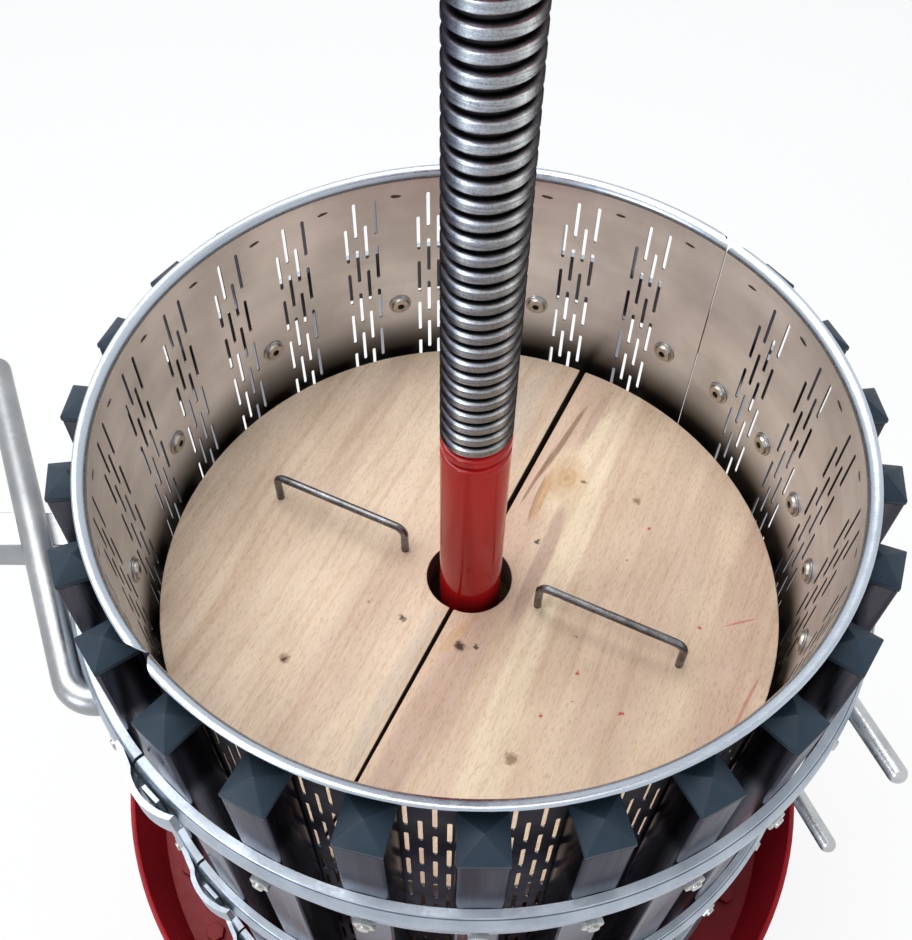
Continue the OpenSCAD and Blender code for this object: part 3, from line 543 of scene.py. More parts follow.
def tacks(name, middle, body):
    """Scorched oval spots where the sheet is tacked to each slat."""
    bm = bmesh.new()
    for i in range(SLATS):
        before = len(bm.verts)
        bmesh.ops.create_circle(bm, cap_ends=True, radius=1.0, segments=20)
        bm.verts.ensure_lookup_table()
        new = bm.verts[before:]
        long, tall = random.uniform(0.0042, 0.0052), random.uniform(0.0012, 0.0017)
        tilt = random.uniform(-0.12, 0.12)
        bmesh.ops.scale(bm, verts=new, vec=(long, tall, 1))
        for v in new:
            v.co.y *= random.uniform(0.75, 1.15)
        bmesh.ops.rotate(bm, verts=new, cent=(0, 0, 0), matrix=Matrix.Rotation(tilt, 3, "Z"))
        drop = TACK_DROP + random.uniform(-0.001, 0.001)
        turn = middle + slat_angle(i)
        for v in new:
            a = turn + v.co.x / LINER_R
            v.co = ((LINER_R - 0.00012) * math.cos(a), (LINER_R - 0.00012) * math.sin(a),
                    RIM_Z - drop + v.co.y)
    for face in bm.faces:
        if face.normal.xy.dot(face.calc_center_median().xy) > 0:
            face.normal_flip()
    spots = finish_mesh(bm, name, 60.0, [tack_brown])
    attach(spots, body)


tacks("liner_tacks_back", BACK, "cage_back")
tacks("liner_tacks_front", FRONT, "cage_front")


# Slats: 30 mm square stainless tube with rounded corners, brushed along its length,
# bolted through liner and hoops; the top end is closed by a pushed-in plastic pyramid cap.
SLAT_W = 0.030
SLAT_D = 0.030
SLAT_IN = LINER_R + LINER_T
SLAT_TOP = RIM_Z - 0.027
# Painted reflection: the tubes' stainless is toned very dark, standing in for the dark
# surroundings it mirrors.
slat_steel = surface("slat_stainless", (0.080, 0.079, 0.090), (0.052, 0.050, 0.057), (160, 160, 3),
                     1.0, 0.22, 0.08, metal=1.0, swing=0.05, fine=5.0)
cap_plastic = surface("cap_plastic", (0.018, 0.033, 0.050), (0.013, 0.025, 0.039), (1, 1, 1), 60.0,
                      0.50, 0.18, swing=0.06, fine=12.0)
cap_plastic.node_tree.nodes["Principled BSDF"].inputs["Specular IOR Level"].default_value = 0.25
slat_steel.node_tree.nodes["Principled BSDF"].inputs["Specular Tint"].default_value = (
    0.52, 0.52, 0.56, 1)
tn, tl = slat_steel.node_tree.nodes, slat_steel.node_tree.links
# Painted reflection: a brighter band on the slats above the upper hoop, mirroring its ledge, as
# the photograph shows it.
slat_height = add_node(tn, "SeparateXYZ", {0: object_place(tn)})
ledge_reflection_fade = add_node(tn, "MapRange", {"Value": slat_height.outputs["Z"],
                                        "From Min": RIM_Z - HOOP_DROP + 0.030,
                                        "From Max": RIM_Z - HOOP_DROP + 0.004, "To Min": 0.0},
                       interpolation_type="SMOOTHSTEP")
ledge_reflection = add_node(tn, "Mix", {"Factor": ledge_reflection_fade.outputs[0], "A": cloud_colour(tn),
                                   "B": (0.36, 0.37, 0.39, 1)}, data_type="RGBA")
tl.new(ledge_reflection.outputs["Result"], tn["Principled BSDF"].inputs["Base Color"])


def each_slat(middle):
    for i in range(SLATS):
        yield Matrix.Rotation(middle + slat_angle(i), 4, "Z")


def half_slats(name, middle, body, node):
    bm = bmesh.new()
    for turn in each_slat(middle):
        made = bmesh.ops.create_cube(bm, size=1.0)["verts"]
        height = SLAT_TOP - CAGE_Z
        bmesh.ops.scale(bm, verts=made, vec=(SLAT_D, SLAT_W, height))
        bmesh.ops.translate(bm, verts=made,
                            vec=(SLAT_IN + SLAT_D / 2, 0, CAGE_Z + height / 2))
        upright = {e for v in made for e in v.link_edges
                   if abs(e.verts[0].co.z - e.verts[1].co.z) > 0.1}
        bevelled = bmesh.ops.bevel(bm, geom=list(upright), offset=0.0026, segments=3,
                                   affect="EDGES", profile=0.5, material=-1)
        part = {v for f in bevelled["faces"] for v in f.verts} | {
            v for v in made if v.is_valid}
        low = [f for f in {f for v in part for f in v.link_faces}
               if f.calc_center_median().z < CAGE_Z + 0.001]
        inset = bmesh.ops.inset_region(bm, faces=low, thickness=0.0015)
        deep = bmesh.ops.extrude_face_region(bm, geom=low)
        lift = [v for v in deep["geom"] if isinstance(v, bmesh.types.BMVert)]
        bmesh.ops.translate(bm, verts=lift, vec=(0, 0, 0.08))
        bmesh.ops.delete(bm, geom=low, context="FACES_ONLY")
        part |= {v for f in inset["faces"] for v in f.verts} | set(lift)
        bmesh.ops.transform(bm, matrix=turn, verts=list(part))
    bmesh.ops.recalc_face_normals(bm, faces=bm.faces)
    piece = finish_mesh(bm, name, 50.0, [slat_steel])
    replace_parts(piece, node)
    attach(piece, body)


def half_caps(name, middle, body, node):
    bm = bmesh.new()
    skirt, rise = 0.0040, 0.0090
    for turn in each_slat(middle):
        before = set(bm.verts)
        base = bmesh.ops.create_cube(bm, size=1.0)["verts"]
        bmesh.ops.scale(bm, verts=base, vec=(SLAT_D, SLAT_W, skirt))
        bmesh.ops.translate(bm, verts=base, vec=(0, 0, skirt / 2))
        top = [f for f in {f for v in base for f in v.link_faces} if f.normal.z > 0.9]
        peak = bmesh.ops.poke(bm, faces=top)["verts"]
        bmesh.ops.translate(bm, verts=peak, vec=(0, 0, rise))
        part = [v for v in bm.verts if v not in before]
        edges = list({e for v in part for e in v.link_edges})
        bmesh.ops.bevel(bm, geom=edges, offset=0.0006, segments=2, affect="EDGES",
                        profile=0.5, material=-1)
        part = [v for v in bm.verts if v not in before]
        bmesh.ops.translate(bm, verts=part, vec=(SLAT_IN + SLAT_D / 2, 0, SLAT_TOP))
        bmesh.ops.transform(bm, matrix=turn, verts=part)
    piece = finish_mesh(bm, name, 25.0, [cap_plastic])
    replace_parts(piece, node)
    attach(piece, body)


half_slats("slat_tubes_back", BACK, "cage_back", "slats_back")
half_slats("slat_tubes_front", FRONT, "cage_front", "slats_front")
half_caps("slat_pyramids_back", BACK, "cage_back", "slat_caps_back")
half_caps("slat_pyramids_front", FRONT, "cage_front", "slat_caps_front")


# Hoops: rolled zinc-plated band with a flat ledge, a round bead and a drilled leg;
# at each seam a strap on the back half hooks round a tongue on the front half.
HOOP_R = math.hypot(SLAT_IN + SLAT_D, SLAT_W / 2)
HOOP_Z = [RIM_Z - HOOP_DROP - 0.2235 * k for k in range(3)]
LEG_R = HOOP_R + 0.003
BEAD_R = HOOP_R + 0.010
hoop_zinc = surface("hoop_zinc", (0.45, 0.505, 0.575), (0.33, 0.375, 0.44), (1, 1, 1), 38.0, 0.43,
                    0.22, metal=1.0, swing=0.09, fine=9.0)


def hoop_outline(z):
    bead = arc(HOOP_R + 0.010 - 0.0231, z - 0.013, 0.0231, 31, -34, 10)
    return ([(HOOP_R, z), (HOOP_R + 0.0052, z), (HOOP_R + 0.0060, z - 0.0007),
             (HOOP_R + 0.0058, z - 0.0016)] + bead +
            [(HOOP_R + 0.0048, z - 0.0262), (LEG_R, z - 0.0270), (LEG_R, z - 0.0492),
             (LEG_R - 0.0008, z - 0.0500), (HOOP_R, z - 0.0500)])


for level, z in zip(("upper", "middle", "lower"), HOOP_Z):
    for half, middle, body in (("back", BACK, "cage_back"), ("front", FRONT, "cage_front")):
        short = HOOP_GAP / HOOP_R * 1.15
        band = spun("hoop_band_%s_%s" % (level, half), hoop_outline(z), math.pi - 2 * short,
                    middle - math.pi / 2 + short, 120, [hoop_zinc])
        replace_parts(band, "hoop_%s_%s" % (level, half))
        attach(band, body)


def hook_radius(a):
    lift = a if a <= 0 else min(a, 1) + 5.5 * math.sin(math.pi * min(a / 8.8, 1)) ** 0.8
    return BEAD_R + lift / 1000


def seam_piece(name, bow, height, thick, span, drop, body, node, floor_in=None):
    """A curved strap at both seams of every hoop; bow gives its inner radius by degrees."""
    bm = bmesh.new()
    steps = 28
    for z in HOOP_Z:
        for side in (0, 1):
            lines = []
            low, high = z - drop - height, z - drop
            for i in range(steps + 1):
                a = span[0] + (span[1] - span[0]) * i / steps
                turn = SEAM - math.pi + math.radians(a) if side == 0 else SEAM - math.radians(a)
                r = bow(a)
                section = [(r, high), (r + thick, high), (r + thick, low), (r, low)]
                if floor_in:
                    section[3:] = [(floor_in, low), (floor_in, low + 0.0015), (r, low + 0.0015)]
                lines.append([bm.verts.new((q * math.cos(turn), q * math.sin(turn), h))
                              for q, h in section])
            count = len(lines[0])
            for p, q in zip(lines, lines[1:]):
                for i in range(count):
                    j = (i + 1) % count
                    bm.faces.new((p[i], p[j], q[j], q[i]))
            for end in (lines[0], lines[-1]):
                bm.faces.new(end)
    bmesh.ops.recalc_face_normals(bm, faces=bm.faces)
    piece = finish_mesh(bm, name, 40.0, [hoop_zinc])
    edges = piece.modifiers.new("edges", "BEVEL")
    edges.width = 0.0017
    edges.segments = 4
    edges.limit_method = "ANGLE"
    edges.angle_limit = math.radians(50)
    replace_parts(piece, node)
    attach(piece, body)


seam_piece("seam_straps", hook_radius, 0.0250, 0.0042, (-4.0, 8.8), 0.0025, "cage_back",
           "seam_hooks", BEAD_R - 0.0015)
seam_piece("seam_lugs", lambda a: BEAD_R, 0.022, 0.0035, (3.0, 6.0), 0.004, "cage_front",
           "seam_tongues")


# Hoop bolts: low round heads with a hexagon socket and a washer inside the liner,
# hexagon nuts on washers outside, in stainless steel.
BOLT_DROP = 0.035
bolt_steel = surface("bolt_steel", (0.50, 0.48, 0.44), (0.36, 0.345, 0.32), (1, 1, 1), 180.0, 0.34,
                     0.2, metal=1.0, swing=0.08)
nut_steel = surface("nut_steel", (0.56, 0.56, 0.55), (0.42, 0.42, 0.41), (1, 1, 1), 180.0, 0.28,
                    0.2, metal=1.0, swing=0.08)
# Painted shade: the hexagon sockets of the bolt heads take this dark tone.
socket_shade = surface("socket_shade", (0.05, 0.045, 0.04), (0.02, 0.018, 0.016), (1, 1, 1), 300.0,
                      0.6, 0.2, metal=0.5)


def turned_part(bm, outline, segments, index=0):
    """Turns (radius, distance along X) points about the X axis."""
    ring = [bm.verts.new((x, r, 0)) for r, x in outline]
    edges = [bm.edges.new(pair) for pair in zip(ring, ring[1:])]
    before = set(bm.faces)
    bmesh.ops.spin(bm, geom=ring + edges, cent=(0, 0, 0), axis=(1, 0, 0), dvec=(0, 0, 0),
                   angle=2 * math.pi, steps=segments, use_merge=True)
    for face in bm.faces:
        if face not in before:
            face.material_index = index


def half_fasteners(middle, every, body, suffix):
    seat = math.sqrt(LINER_R ** 2 - 0.010 ** 2)
    heads, nuts = bmesh.new(), bmesh.new()
    for i in range(0, SLATS, every):
        for z in HOOP_Z:
            turn = (Matrix.Translation((0, 0, z - BOLT_DROP)) @
                    Matrix.Rotation(middle + slat_angle(i), 4, "Z"))
            spin = Matrix.Rotation(random.uniform(0, math.pi), 4, "X")
            done = set(heads.verts)
            turned_part(heads, [(0.0001, seat), (0.0097, seat), (0.0100, seat - 0.0003),
                                (0.0100, seat - 0.0009), (0.0096, seat - 0.0012),
                                (0.0084, seat - 0.0012), (0.0080, seat - 0.0016),
                                (0.0079, seat - 0.0024), (0.0070, seat - 0.0036),
                                (0.0040, seat - 0.0038), (0.0029, seat - 0.0038)], 24)
            # The socket cup takes the painted shade.
            cup = [(0.0029 / math.cos(math.radians(30)), seat - 0.0039),
                   (0.0028, seat - 0.0014), (0.0001, seat - 0.0012)]
            turned_part(heads, cup, 6, 1)
            new = [v for v in heads.verts if v not in done]
            bmesh.ops.transform(heads, matrix=turn @ spin, verts=new)
            done = set(nuts.verts)
            a = LEG_R
            turned_part(nuts, [(0.0040, a), (0.0078, a), (0.0080, a + 0.0003),
                               (0.0080, a + 0.0010), (0.0077, a + 0.0012),
                               (0.0040, a + 0.0012)], 24)
            turned_part(nuts, [(0.0060, a + 0.0012), (0.0070, a + 0.0014),
                               (0.00751, a + 0.0022), (0.00751, a + 0.0073),
                               (0.0070, a + 0.0078), (0.0058, a + 0.0080),
                               (0.0040, a + 0.0079)], 6)
            turned_part(nuts, [(0.0040, a + 0.0060), (0.0040, a + 0.0092),
                               (0.0034, a + 0.0098), (0.0001, a + 0.0099)], 18)
            new = [v for v in nuts.verts if v not in done]
            bmesh.ops.transform(nuts, matrix=turn @ spin, verts=new)
    for bm, name, node, mats in (
            (heads, "bolt_heads_" + suffix, "hoop_bolts_" + suffix, [bolt_steel, socket_shade]),
            (nuts, "hex_nuts_" + suffix, "hoop_nuts_" + suffix, [nut_steel])):
        bmesh.ops.recalc_face_normals(bm, faces=bm.faces)
        piece = finish_mesh(bm, name, 30.0, mats)
        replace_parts(piece, node)
        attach(piece, body)


half_fasteners(BACK, 2, "cage_back", "back")
half_fasteners(FRONT, 1, "cage_front", "front")


# Carrying bar and its arm: galvanised 22 mm round bar laid along the upper hoop and
# an open square tube under it; two shorter round rods stand out at the right.
bar_zinc = surface("bar_zinc", (0.36, 0.375, 0.39), (0.27, 0.28, 0.295), (1, 1, 1), 26.0, 0.36,
                   0.16, metal=1.0, swing=0.08, fine=10.0)


def rod_piece(name, points, radius, materials, body, node=None, resolution=10):
    """A round bar along a line of points, with domed ends."""
    curve = bpy.data.curves.new(name, "CURVE")
    curve.dimensions = "3D"
    curve.bevel_depth = radius
    curve.bevel_resolution = resolution
    curve.use_fill_caps = True
    spline = curve.splines.new("POLY")
    spline.points.add(len(points) - 1)
    for target, point in zip(spline.points, points):
        target.co = (*point[:3], 1.0)
        target.radius = point[3] if len(point) > 3 else 1.0
    holder = bpy.data.objects.new(name + "_line", curve)
    bpy.context.collection.objects.link(holder)
    mesh = bpy.data.meshes.new_from_object(
        holder.evaluated_get(bpy.context.evaluated_depsgraph_get()))
    bpy.data.objects.remove(holder)
    bm = bmesh.new()
    bm.from_mesh(mesh)
    bmesh.ops.remove_doubles(bm, verts=bm.verts, dist=1e-6)
    bmesh.ops.recalc_face_normals(bm, faces=bm.faces)
    piece = finish_mesh(bm, name, 50.0, materials)
    if node:
        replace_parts(piece, node)
    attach(piece, body)
    return piece


def domed(start, direction, length, radius, tail=6):
    """Points of a straight bar whose far end is rounded."""
    start, direction = Vector(start), Vector(direction).normalized()
    points = [(*start, 1.0)]
    for i in range(tail + 1):
        a = math.pi / 2 * i / tail
        place = start + direction * (length - radius + radius * math.sin(a))
        points.append((*place, max(math.cos(a), 0.02)))
    return points


BAR_AZ = 114.8
bar_turn = math.radians(BAR_AZ + 90)
bar_out = BEAD_R + 0.011
bar_z = RIM_Z - 0.125
foot = Vector((bar_out * math.cos(bar_turn), bar_out * math.sin(bar_turn), bar_z))
along = Vector((math.cos(math.radians(BAR_AZ)), math.sin(math.radians(BAR_AZ)), 0))
inward = Vector((-math.cos(bar_turn), -math.sin(bar_turn), 0))
bend = [foot - along * 0.015 + inward * 0.025 * (1 - math.cos(math.radians(a))) -
        along * 0.025 * math.sin(math.radians(a)) for a in range(78, 0, -6)]
straight = domed(foot - along * 0.015, along, 0.015 + 0.300, 0.011)
rod_piece("carrying_bar", [(*p, 1.0) for p in bend] + straight, 0.011, [bar_zinc], "cage_back",
          "carry_bar")
softened("bar_arm", 0.0012, [bar_zinc], "cage_back")
grip_line = Vector((math.cos(math.radians(-64.5)), math.sin(math.radians(-64.5)), 0))
for name, az, z, r in (("grip_rod_upper", -24, HOOP_Z[0] - 0.034, LEG_R),
                       ("grip_rod_lower", -20, HOOP_Z[1] - 0.013, BEAD_R)):
    root = Vector((r * math.cos(math.radians(az)), r * math.sin(math.radians(az)), z))
    rod_piece(name, domed(root - grip_line * 0.004, grip_line, 0.075, 0.007), 0.007,
              [zinc], "cage_front",
              "grip_rods" if name == "grip_rod_upper" else None)


# Boards: two half-moon beech boards, 37 mm thick, planed and bare, sawn apart on the
# screw's line; their edges are broken, and the wood is flecked, knotted and stained.
BOARD_R = 0.250
BOARD_Z0 = 0.700
BOARD_Z1 = 0.737
SPLIT = math.radians(66.7)


def beech(name, pale, rosy, line, wander, knots, seed, streaks=(), line_share=0.38):
    """Planed beech: soft bands and fine lines along the split, flecks, knots and stains."""
    material = bpy.data.materials.new(name)
    material.use_nodes = True
    nodes, links = material.node_tree.nodes, material.node_tree.links
    shader = nodes["Principled BSDF"]
    shader.inputs["Roughness"].default_value = 0.62
    shader.inputs["Specular IOR Level"].default_value = 0.3
    place = add_node(nodes, "TexCoord")
    lay = add_node(nodes, "Mapping", vector_type="TEXTURE")
    lay.inputs["Rotation"].default_value = (0, 0, SPLIT)
    links.new(place.outputs["Object"], lay.inputs["Vector"])

    def noise(scale, stretch, detail=4.0, source=None):
        m = add_node(nodes, "Mapping", {"Vector": source or lay.outputs[0], "Scale": stretch,
                                        "Location": (seed, seed * 0.37, 0)})
        n = add_node(nodes, "TexNoise", {"Vector": m.outputs[0], "Scale": scale,
                                         "Detail": detail})
        return n

    def ramp(fac, stops):
        r = add_node(nodes, "ValToRGB")
        r.color_ramp.elements[0].position, r.color_ramp.elements[0].color = (
            stops[0][0], (*stops[0][1], 1))
        r.color_ramp.elements[1].position, r.color_ramp.elements[1].color = (
            stops[-1][0], (*stops[-1][1], 1))
        for at, colour in stops[1:-1]:
            r.color_ramp.elements.new(at).color = (*colour, 1)
        links.new(fac, r.inputs["Fac"])
        return r.outputs["Color"]

    def blend(kind, fac, a, b):
        m = add_node(nodes, "Mix", data_type="RGBA", blend_type=kind)
        if isinstance(fac, float):
            m.inputs["Factor"].default_value = fac
        else:
            links.new(fac, m.inputs["Factor"])
        links.new(a, m.inputs["A"])
        if isinstance(b, tuple):
            m.inputs["B"].default_value = (*b, 1)
        else:
            links.new(b, m.inputs["B"])
        return m.outputs["Result"]

    drift = noise(3.2, (1, 1, 1), 2.0)
    shift = add_node(nodes, "VectorMath", {0: drift.outputs["Color"], 1: (wander,) * 3,
                                           2: (-wander / 2,) * 3}, operation="MULTIPLY_ADD")
    moved = add_node(nodes, "VectorMath", {0: lay.outputs[0], 1: shift.outputs[0]},
                     operation="ADD")
    bands = noise(11.0, (0.10, 1.0, 0.4), 3.0, moved.outputs[0])
    colour = ramp(bands.outputs["Fac"], [(0.34, rosy), (0.45, pale), (0.60, pale), (0.72, rosy)])
    ragged = noise(60.0, (0.12, 1.0, 1.0), 4.0)
    for along, across, long, wide, slant, tone, share, rings in streaks:
        centre = add_node(nodes, "VectorMath", {0: moved.outputs[0],
                                                1: (along, -across, BOARD_Z1)},
                          operation="SUBTRACT")
        turned_in = add_node(nodes, "Mapping", {"Vector": centre.outputs[0],
                                                "Rotation": (0, 0, slant)})
        scaled = add_node(nodes, "VectorMath", {0: turned_in.outputs[0],
                                                1: (1 / long, 1 / wide, 0)}, operation="MULTIPLY")
        away = add_node(nodes, "VectorMath", {0: scaled.outputs[0]}, operation="LENGTH")
        torn = add_node(nodes, "Math", {0: ragged.outputs["Fac"], 1: 1.1, 2: -0.55},
                        operation="MULTIPLY_ADD")
        reach = add_node(nodes, "Math", {0: away.outputs["Value"], 1: torn.outputs[0]})
        inside = add_node(nodes, "MapRange", {"Value": reach.outputs[0], "From Min": 1.0,
                                              "From Max": 0.55, "To Max": share},
                          interpolation_type="SMOOTHSTEP")
        factor = inside.outputs[0]
        if rings:
            wave = add_node(nodes, "Math", operation="SINE")
            ring_scale = add_node(nodes, "Math", {0: away.outputs["Value"], 1: rings},
                                  operation="MULTIPLY")
            links.new(ring_scale.outputs[0], wave.inputs[0])
            lift = add_node(nodes, "Math", {0: wave.outputs[0], 1: 0.28, 2: 0.72},
                            operation="MULTIPLY_ADD")
            both = add_node(nodes, "Math", {0: inside.outputs[0], 1: lift.outputs[0]},
                            operation="MULTIPLY")
            factor = both.outputs[0]
        colour = blend("MIX", factor, colour, tone)
    lines = noise(150.0, (0.030, 1.0, 0.5), 5.0, moved.outputs[0])
    colour = blend("MULTIPLY", line_share, colour,
                   ramp(lines.outputs["Fac"], [(0.36, line), (0.52, (1, 1, 1))]))
    pores = noise(1100.0, (0.16, 1.0, 1.0), 2.0)
    colour = blend("MULTIPLY", 0.42, colour,
                   ramp(pores.outputs["Fac"], [(0.33, (0.60, 0.50, 0.42)), (0.47, (1, 1, 1))]))
    mottle = noise(26.0, (0.55, 1.0, 1.0), 6.0)
    colour = blend("MULTIPLY", 0.55, colour,
                   ramp(mottle.outputs["Fac"], [(0.34, (0.86, 0.82, 0.78)),
                                                (0.60, (1.06, 1.06, 1.06))]))
    ruffle = noise(330.0, (1, 1, 1), 2.0)
    ruffle_part = add_node(nodes, "VectorMath", {0: ruffle.outputs["Color"],
                                                 1: (0.006, 0.006, 0), 2: (-0.003, -0.003, 0)},
                           operation="MULTIPLY_ADD")
    ruffled = add_node(nodes, "VectorMath", {0: place.outputs["Object"],
                                             1: ruffle_part.outputs[0]}, operation="ADD")
    for x, y, size, tone in knots:
        spot = add_node(nodes, "VectorMath", {0: ruffled.outputs[0], 1: (x, y, BOARD_Z1)},
                        operation="DISTANCE")
        edge = add_node(nodes, "MapRange", {"Value": spot.outputs["Value"],
                                            "From Min": size * 0.35, "From Max": size,
                                            "To Min": 0.9, "To Max": 0.0},
                        interpolation_type="SMOOTHSTEP")
        colour = blend("MIX", edge.outputs[0], colour, tone)
    links.new(colour, shader.inputs["Base Color"])
    relief = add_node(nodes, "Bump", {"Height": lines.outputs["Fac"], "Strength": 0.30,
                                      "Distance": 0.0005})
    links.new(relief.outputs[0], shader.inputs["Normal"])
    return material


KNOT = (0.045, 0.026, 0.018)
STAIN = (0.30, 0.19, 0.11)
RED_SPOT = (0.50, 0.02, 0.02)
CREAM = (0.88, 0.73, 0.53)
ORANGE = (0.60, 0.36, 0.17)
BROWN = (0.24, 0.13, 0.075)
DUSKY = (0.55, 0.39, 0.31)
GREY_WOOD = (0.55, 0.475, 0.40)
board_left_wood = beech(
    "beech_left", (0.80, 0.64, 0.485), (0.735, 0.565, 0.42), (0.74, 0.62, 0.52), 0.03,
    [(-0.142, -0.081, 0.0060, STAIN), (-0.142, -0.083, 0.0026, KNOT),
     (-0.053, -0.041, 0.0042, KNOT), (-0.081, -0.028, 0.0022, STAIN)], 3,
    [(-0.10, -0.060, 0.150, 0.030, 0.05, DUSKY, 0.28, 0),
     (0.10, -0.150, 0.160, 0.016, -0.10, DUSKY, 0.35, 0),
     (0.14, -0.030, 0.120, 0.022, 0.0, GREY_WOOD, 0.45, 0),
     (-0.11, -0.012, 0.110, 0.012, 0.0, GREY_WOOD, 0.45, 0)])
board_right_wood = beech(
    "beech_right", (0.76, 0.585, 0.425), (0.70, 0.505, 0.385), (0.66, 0.52, 0.42), 0.035,
    [(-0.006, -0.064, 0.0062, BROWN), (-0.006, -0.064, 0.0048, KNOT),
     (0.007, -0.064, 0.0030, KNOT), (0.055, 0.037, 0.0034, KNOT), (0.140, 0.083, 0.0050, STAIN),
     (0.036, -0.155, 0.0068, STAIN), (0.095, 0.101, 0.0030, BROWN),
     (0.149, 0.055, 0.0022, RED_SPOT), (0.129, 0.023, 0.0018, RED_SPOT),
     (0.184, -0.038, 0.0024, RED_SPOT), (0.086, -0.050, 0.0020, RED_SPOT),
     (0.086, -0.082, 0.0022, RED_SPOT), (0.082, -0.107, 0.0014, RED_SPOT),
     (0.058, -0.119, 0.0020, RED_SPOT), (0.119, -0.114, 0.0022, RED_SPOT)], 11,
    [(0.02, 0.064, 0.260, 0.015, -0.04, CREAM, 0.95, 0),
     (0.17, 0.040, 0.060, 0.010, 0.10, CREAM, 0.75, 0),
     (-0.13, 0.074, 0.110, 0.020, -0.05, CREAM, 0.80, 0),
     (0.12, 0.030, 0.060, 0.020, 0.0, CREAM, 0.70, 0),
     (0.127, 0.030, 0.034, 0.018, 0.0, ORANGE, 0.40, 0),
     (0.127, 0.032, 0.015, 0.010, 0.0, ORANGE, 0.70, 11.0),
     (0.160, 0.012, 0.060, 0.0030, 0.10, BROWN, 0.70, 0),
     (0.115, 0.007, 0.045, 0.0022, 0.02, BROWN, 0.70, 0),
     (0.095, 0.017, 0.030, 0.0026, -0.12, BROWN, 0.60, 0),
     (0.100, 0.020, 0.034, 0.0050, -0.10, ORANGE, 0.70, 0),
     (0.205, 0.030, 0.050, 0.0060, 0.05, DUSKY, 0.60, 0),
     (0.045, 0.044, 0.070, 0.008, -0.06, DUSKY, 0.75, 0),
     (-0.12, 0.022, 0.150, 0.020, 0.0, DUSKY, 0.55, 0),
     (0.03, 0.140, 0.200, 0.050, 0.0, DUSKY, 0.30, 0),
     (-0.045, 0.012, 0.030, 0.006, 0.25, ORANGE, 0.70, 9.0),
     (0.062, 0.214, 0.018, 0.0011, 0.9, RED_SPOT, 0.50, 0),
     (-0.010, 0.236, 0.040, 0.0016, 0.15, RED_SPOT, 0.40, 0)], 0.24)
# Painted shade: the faces along the split and the wall of the screw hole take this dark brown.
split_shade = surface("split_face_shade", (0.10, 0.066, 0.044), (0.045, 0.028, 0.019), (1, 1, 0.2), 60.0,
                    0.80, 0.5, fine=6.0)


def half_board(name, side, material, body, node, splay=0.0):
    turn = SPLIT + side * math.pi / 2
    rim = BOARD_R - 0.001
    outline = [(0.033, BOARD_Z0), (rim, BOARD_Z0), (rim, BOARD_Z1), (0.033, BOARD_Z1)]
    bm = bmesh.new()
    ring = [bm.verts.new((0, -r, z)) for r, z in outline]
    edges = [bm.edges.new((ring[i], ring[(i + 1) % 4])) for i in range(4)]
    bm.faces.new(ring)
    bmesh.ops.spin(bm, geom=ring + edges, cent=(0, 0, 0), axis=(0, 0, 1), dvec=(0, 0, 0),
                   angle=math.pi, steps=96)
    far = sorted((v for v in bm.verts if abs(v.co.x) < 1e-6 and v.co.y > 0),
                 key=lambda v: (v.co.z, v.co.y))
    bm.faces.new((far[0], far[1], far[3], far[2]))
    bmesh.ops.recalc_face_normals(bm, faces=bm.faces)
    crease = [e for e in bm.edges if e.calc_face_angle(0) > math.radians(50)]
    bmesh.ops.bevel(bm, geom=crease, offset=0.0010, segments=3, affect="EDGES", profile=0.5,
                    material=-1)
    # The split faces and the hole wall get the painted shade.
    for face in bm.faces:
        split_side = face.normal.x < -0.9
        hole_wall = face.calc_center_median().xy.length < 0.0332 and abs(face.normal.z) < 0.3
        face.material_index = 1 if split_side or hole_wall else 0
    bmesh.ops.translate(bm, verts=bm.verts, vec=(0.001, 0, 0))
    bmesh.ops.rotate(bm, verts=bm.verts, cent=(0, BOARD_R, 0),
                     matrix=Matrix.Rotation(splay, 3, "Z"))
    bmesh.ops.rotate(bm, verts=bm.verts, cent=(0, 0, 0), matrix=Matrix.Rotation(turn, 3, "Z"))
    piece = finish_mesh(bm, name, 30.0, [material, split_shade])
    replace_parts(piece, node)
    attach(piece, body)


half_board("pressing_board_left", 1, board_left_wood, "board_left", "board_left",
           math.radians(0.4))
half_board("pressing_board_right", -1, board_right_wood, "board_right", "board_right")

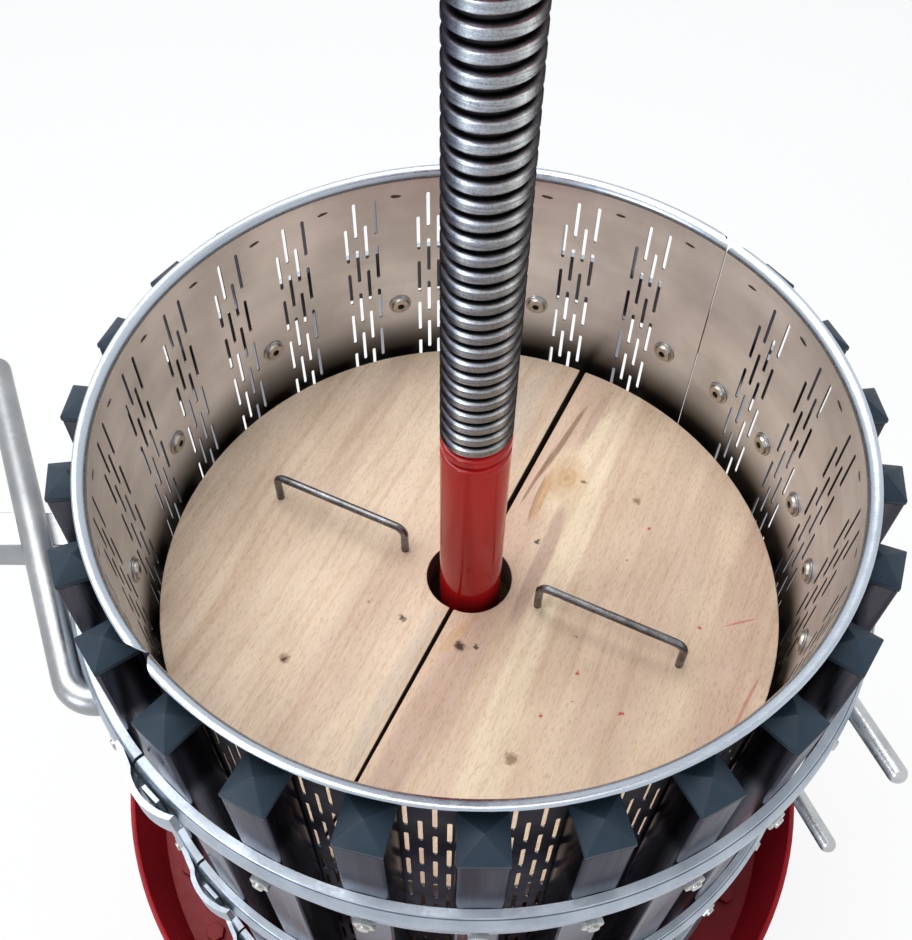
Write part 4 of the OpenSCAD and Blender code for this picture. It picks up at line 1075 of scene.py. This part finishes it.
# Board handles: 6.6 mm drawn steel rod bent to a flat bow, driven into each board,
# grey and slightly rusty where it enters the wood.
handle_steel = surface("handle_rod", (0.22, 0.225, 0.24), (0.10, 0.092, 0.088), (1, 1, 1), 70.0,
                       0.26, 0.35, metal=1.0, swing=0.10)
for name, side in (("bow_handle_left", 1), ("bow_handle_right", -1)):
    away = Vector((math.cos(SPLIT + side * math.pi / 2), math.sin(SPLIT + side * math.pi / 2), 0))
    up = Vector((0, 0, 1))
    sink, rise, bend_r = 0.019, 0.030, 0.008
    points = [away * 0.060 + up * (BOARD_Z1 - sink)]
    for i in range(9):
        a = math.pi / 2 * i / 8
        points.append(away * (0.060 + bend_r * (1 - math.cos(a))) +
                      up * (BOARD_Z1 + rise - bend_r + bend_r * math.sin(a)))
    for i in range(8, -1, -1):
        a = math.pi / 2 * i / 8
        points.append(away * (0.180 - bend_r * (1 - math.cos(a))) +
                      up * (BOARD_Z1 + rise - bend_r + bend_r * math.sin(a)))
    points.append(away * 0.180 + up * (BOARD_Z1 - sink))
    body = "board_left" if side == 1 else "board_right"
    rod_piece(name, [(*p, 1.0) for p in points], 0.0033, [handle_steel], body,
              "board_handle_left" if side == 1 else "board_handle_right", 6)

# Spacer blocks: sawn hardwood beams stacked crosswise to hold the boards up.
block_wood = beech("sawn_block", (0.62, 0.45, 0.28), (0.52, 0.36, 0.22), (0.6, 0.48, 0.38), 0.2,
                   [], 23)
softened("spacer_blocks_along", 0.0015, [block_wood], "base")
softened("spacer_blocks_across", 0.0015, [block_wood], "base")

# Ratchet head: cast iron pressure plate, bronze thrust washer and a nut with a crown of
# holes; the lever holder swings on the nut's neck and drives it by two steel pawls.
head_red = surface("head_red", (0.50, 0.012, 0.020), (0.36, 0.008, 0.014), (1, 1, 1), 40.0,
                   0.30, 0.45, swing=0.08, coat=0.4, fine=14.0)
bronze = surface("bronze", (0.55, 0.36, 0.14), (0.42, 0.27, 0.10), (1, 1, 1), 90.0, 0.34, 0.2,
                 metal=1.0)
dark_steel = surface("blackened_steel", (0.10, 0.10, 0.11), (0.05, 0.05, 0.055), (1, 1, 1), 80.0,
                     0.38, 0.3, metal=1.0)
softened("pressure_plate", 0.0020, [head_red], "pressure_head")
softened("thrust_washer", 0.0005, [bronze], "pressure_head")
softened("ratchet_nut", 0.0012, [head_red], "ratchet_nut")
softened("retaining_ring", 0.0004, [dark_steel], "ratchet_nut")
softened("lever_holder", 0.0015, [head_red], "lever_holder")
softened("pawl_driving", 0.0006, [dark_steel], "pawl_driving")
softened("pawl_returning", 0.0006, [dark_steel], "pawl_returning")
softened("lever_bar", 0.0006, [bar_zinc], "lever")

# Grip: black rubber sleeve pushed on the lever's end, with shallow moulded rings.
rubber = surface("grip_rubber", (0.022, 0.022, 0.024), (0.014, 0.014, 0.015), (1, 1, 1), 200.0,
                 0.55, 0.4)
softened("lever_grip", 0.0015, [rubber], "lever")
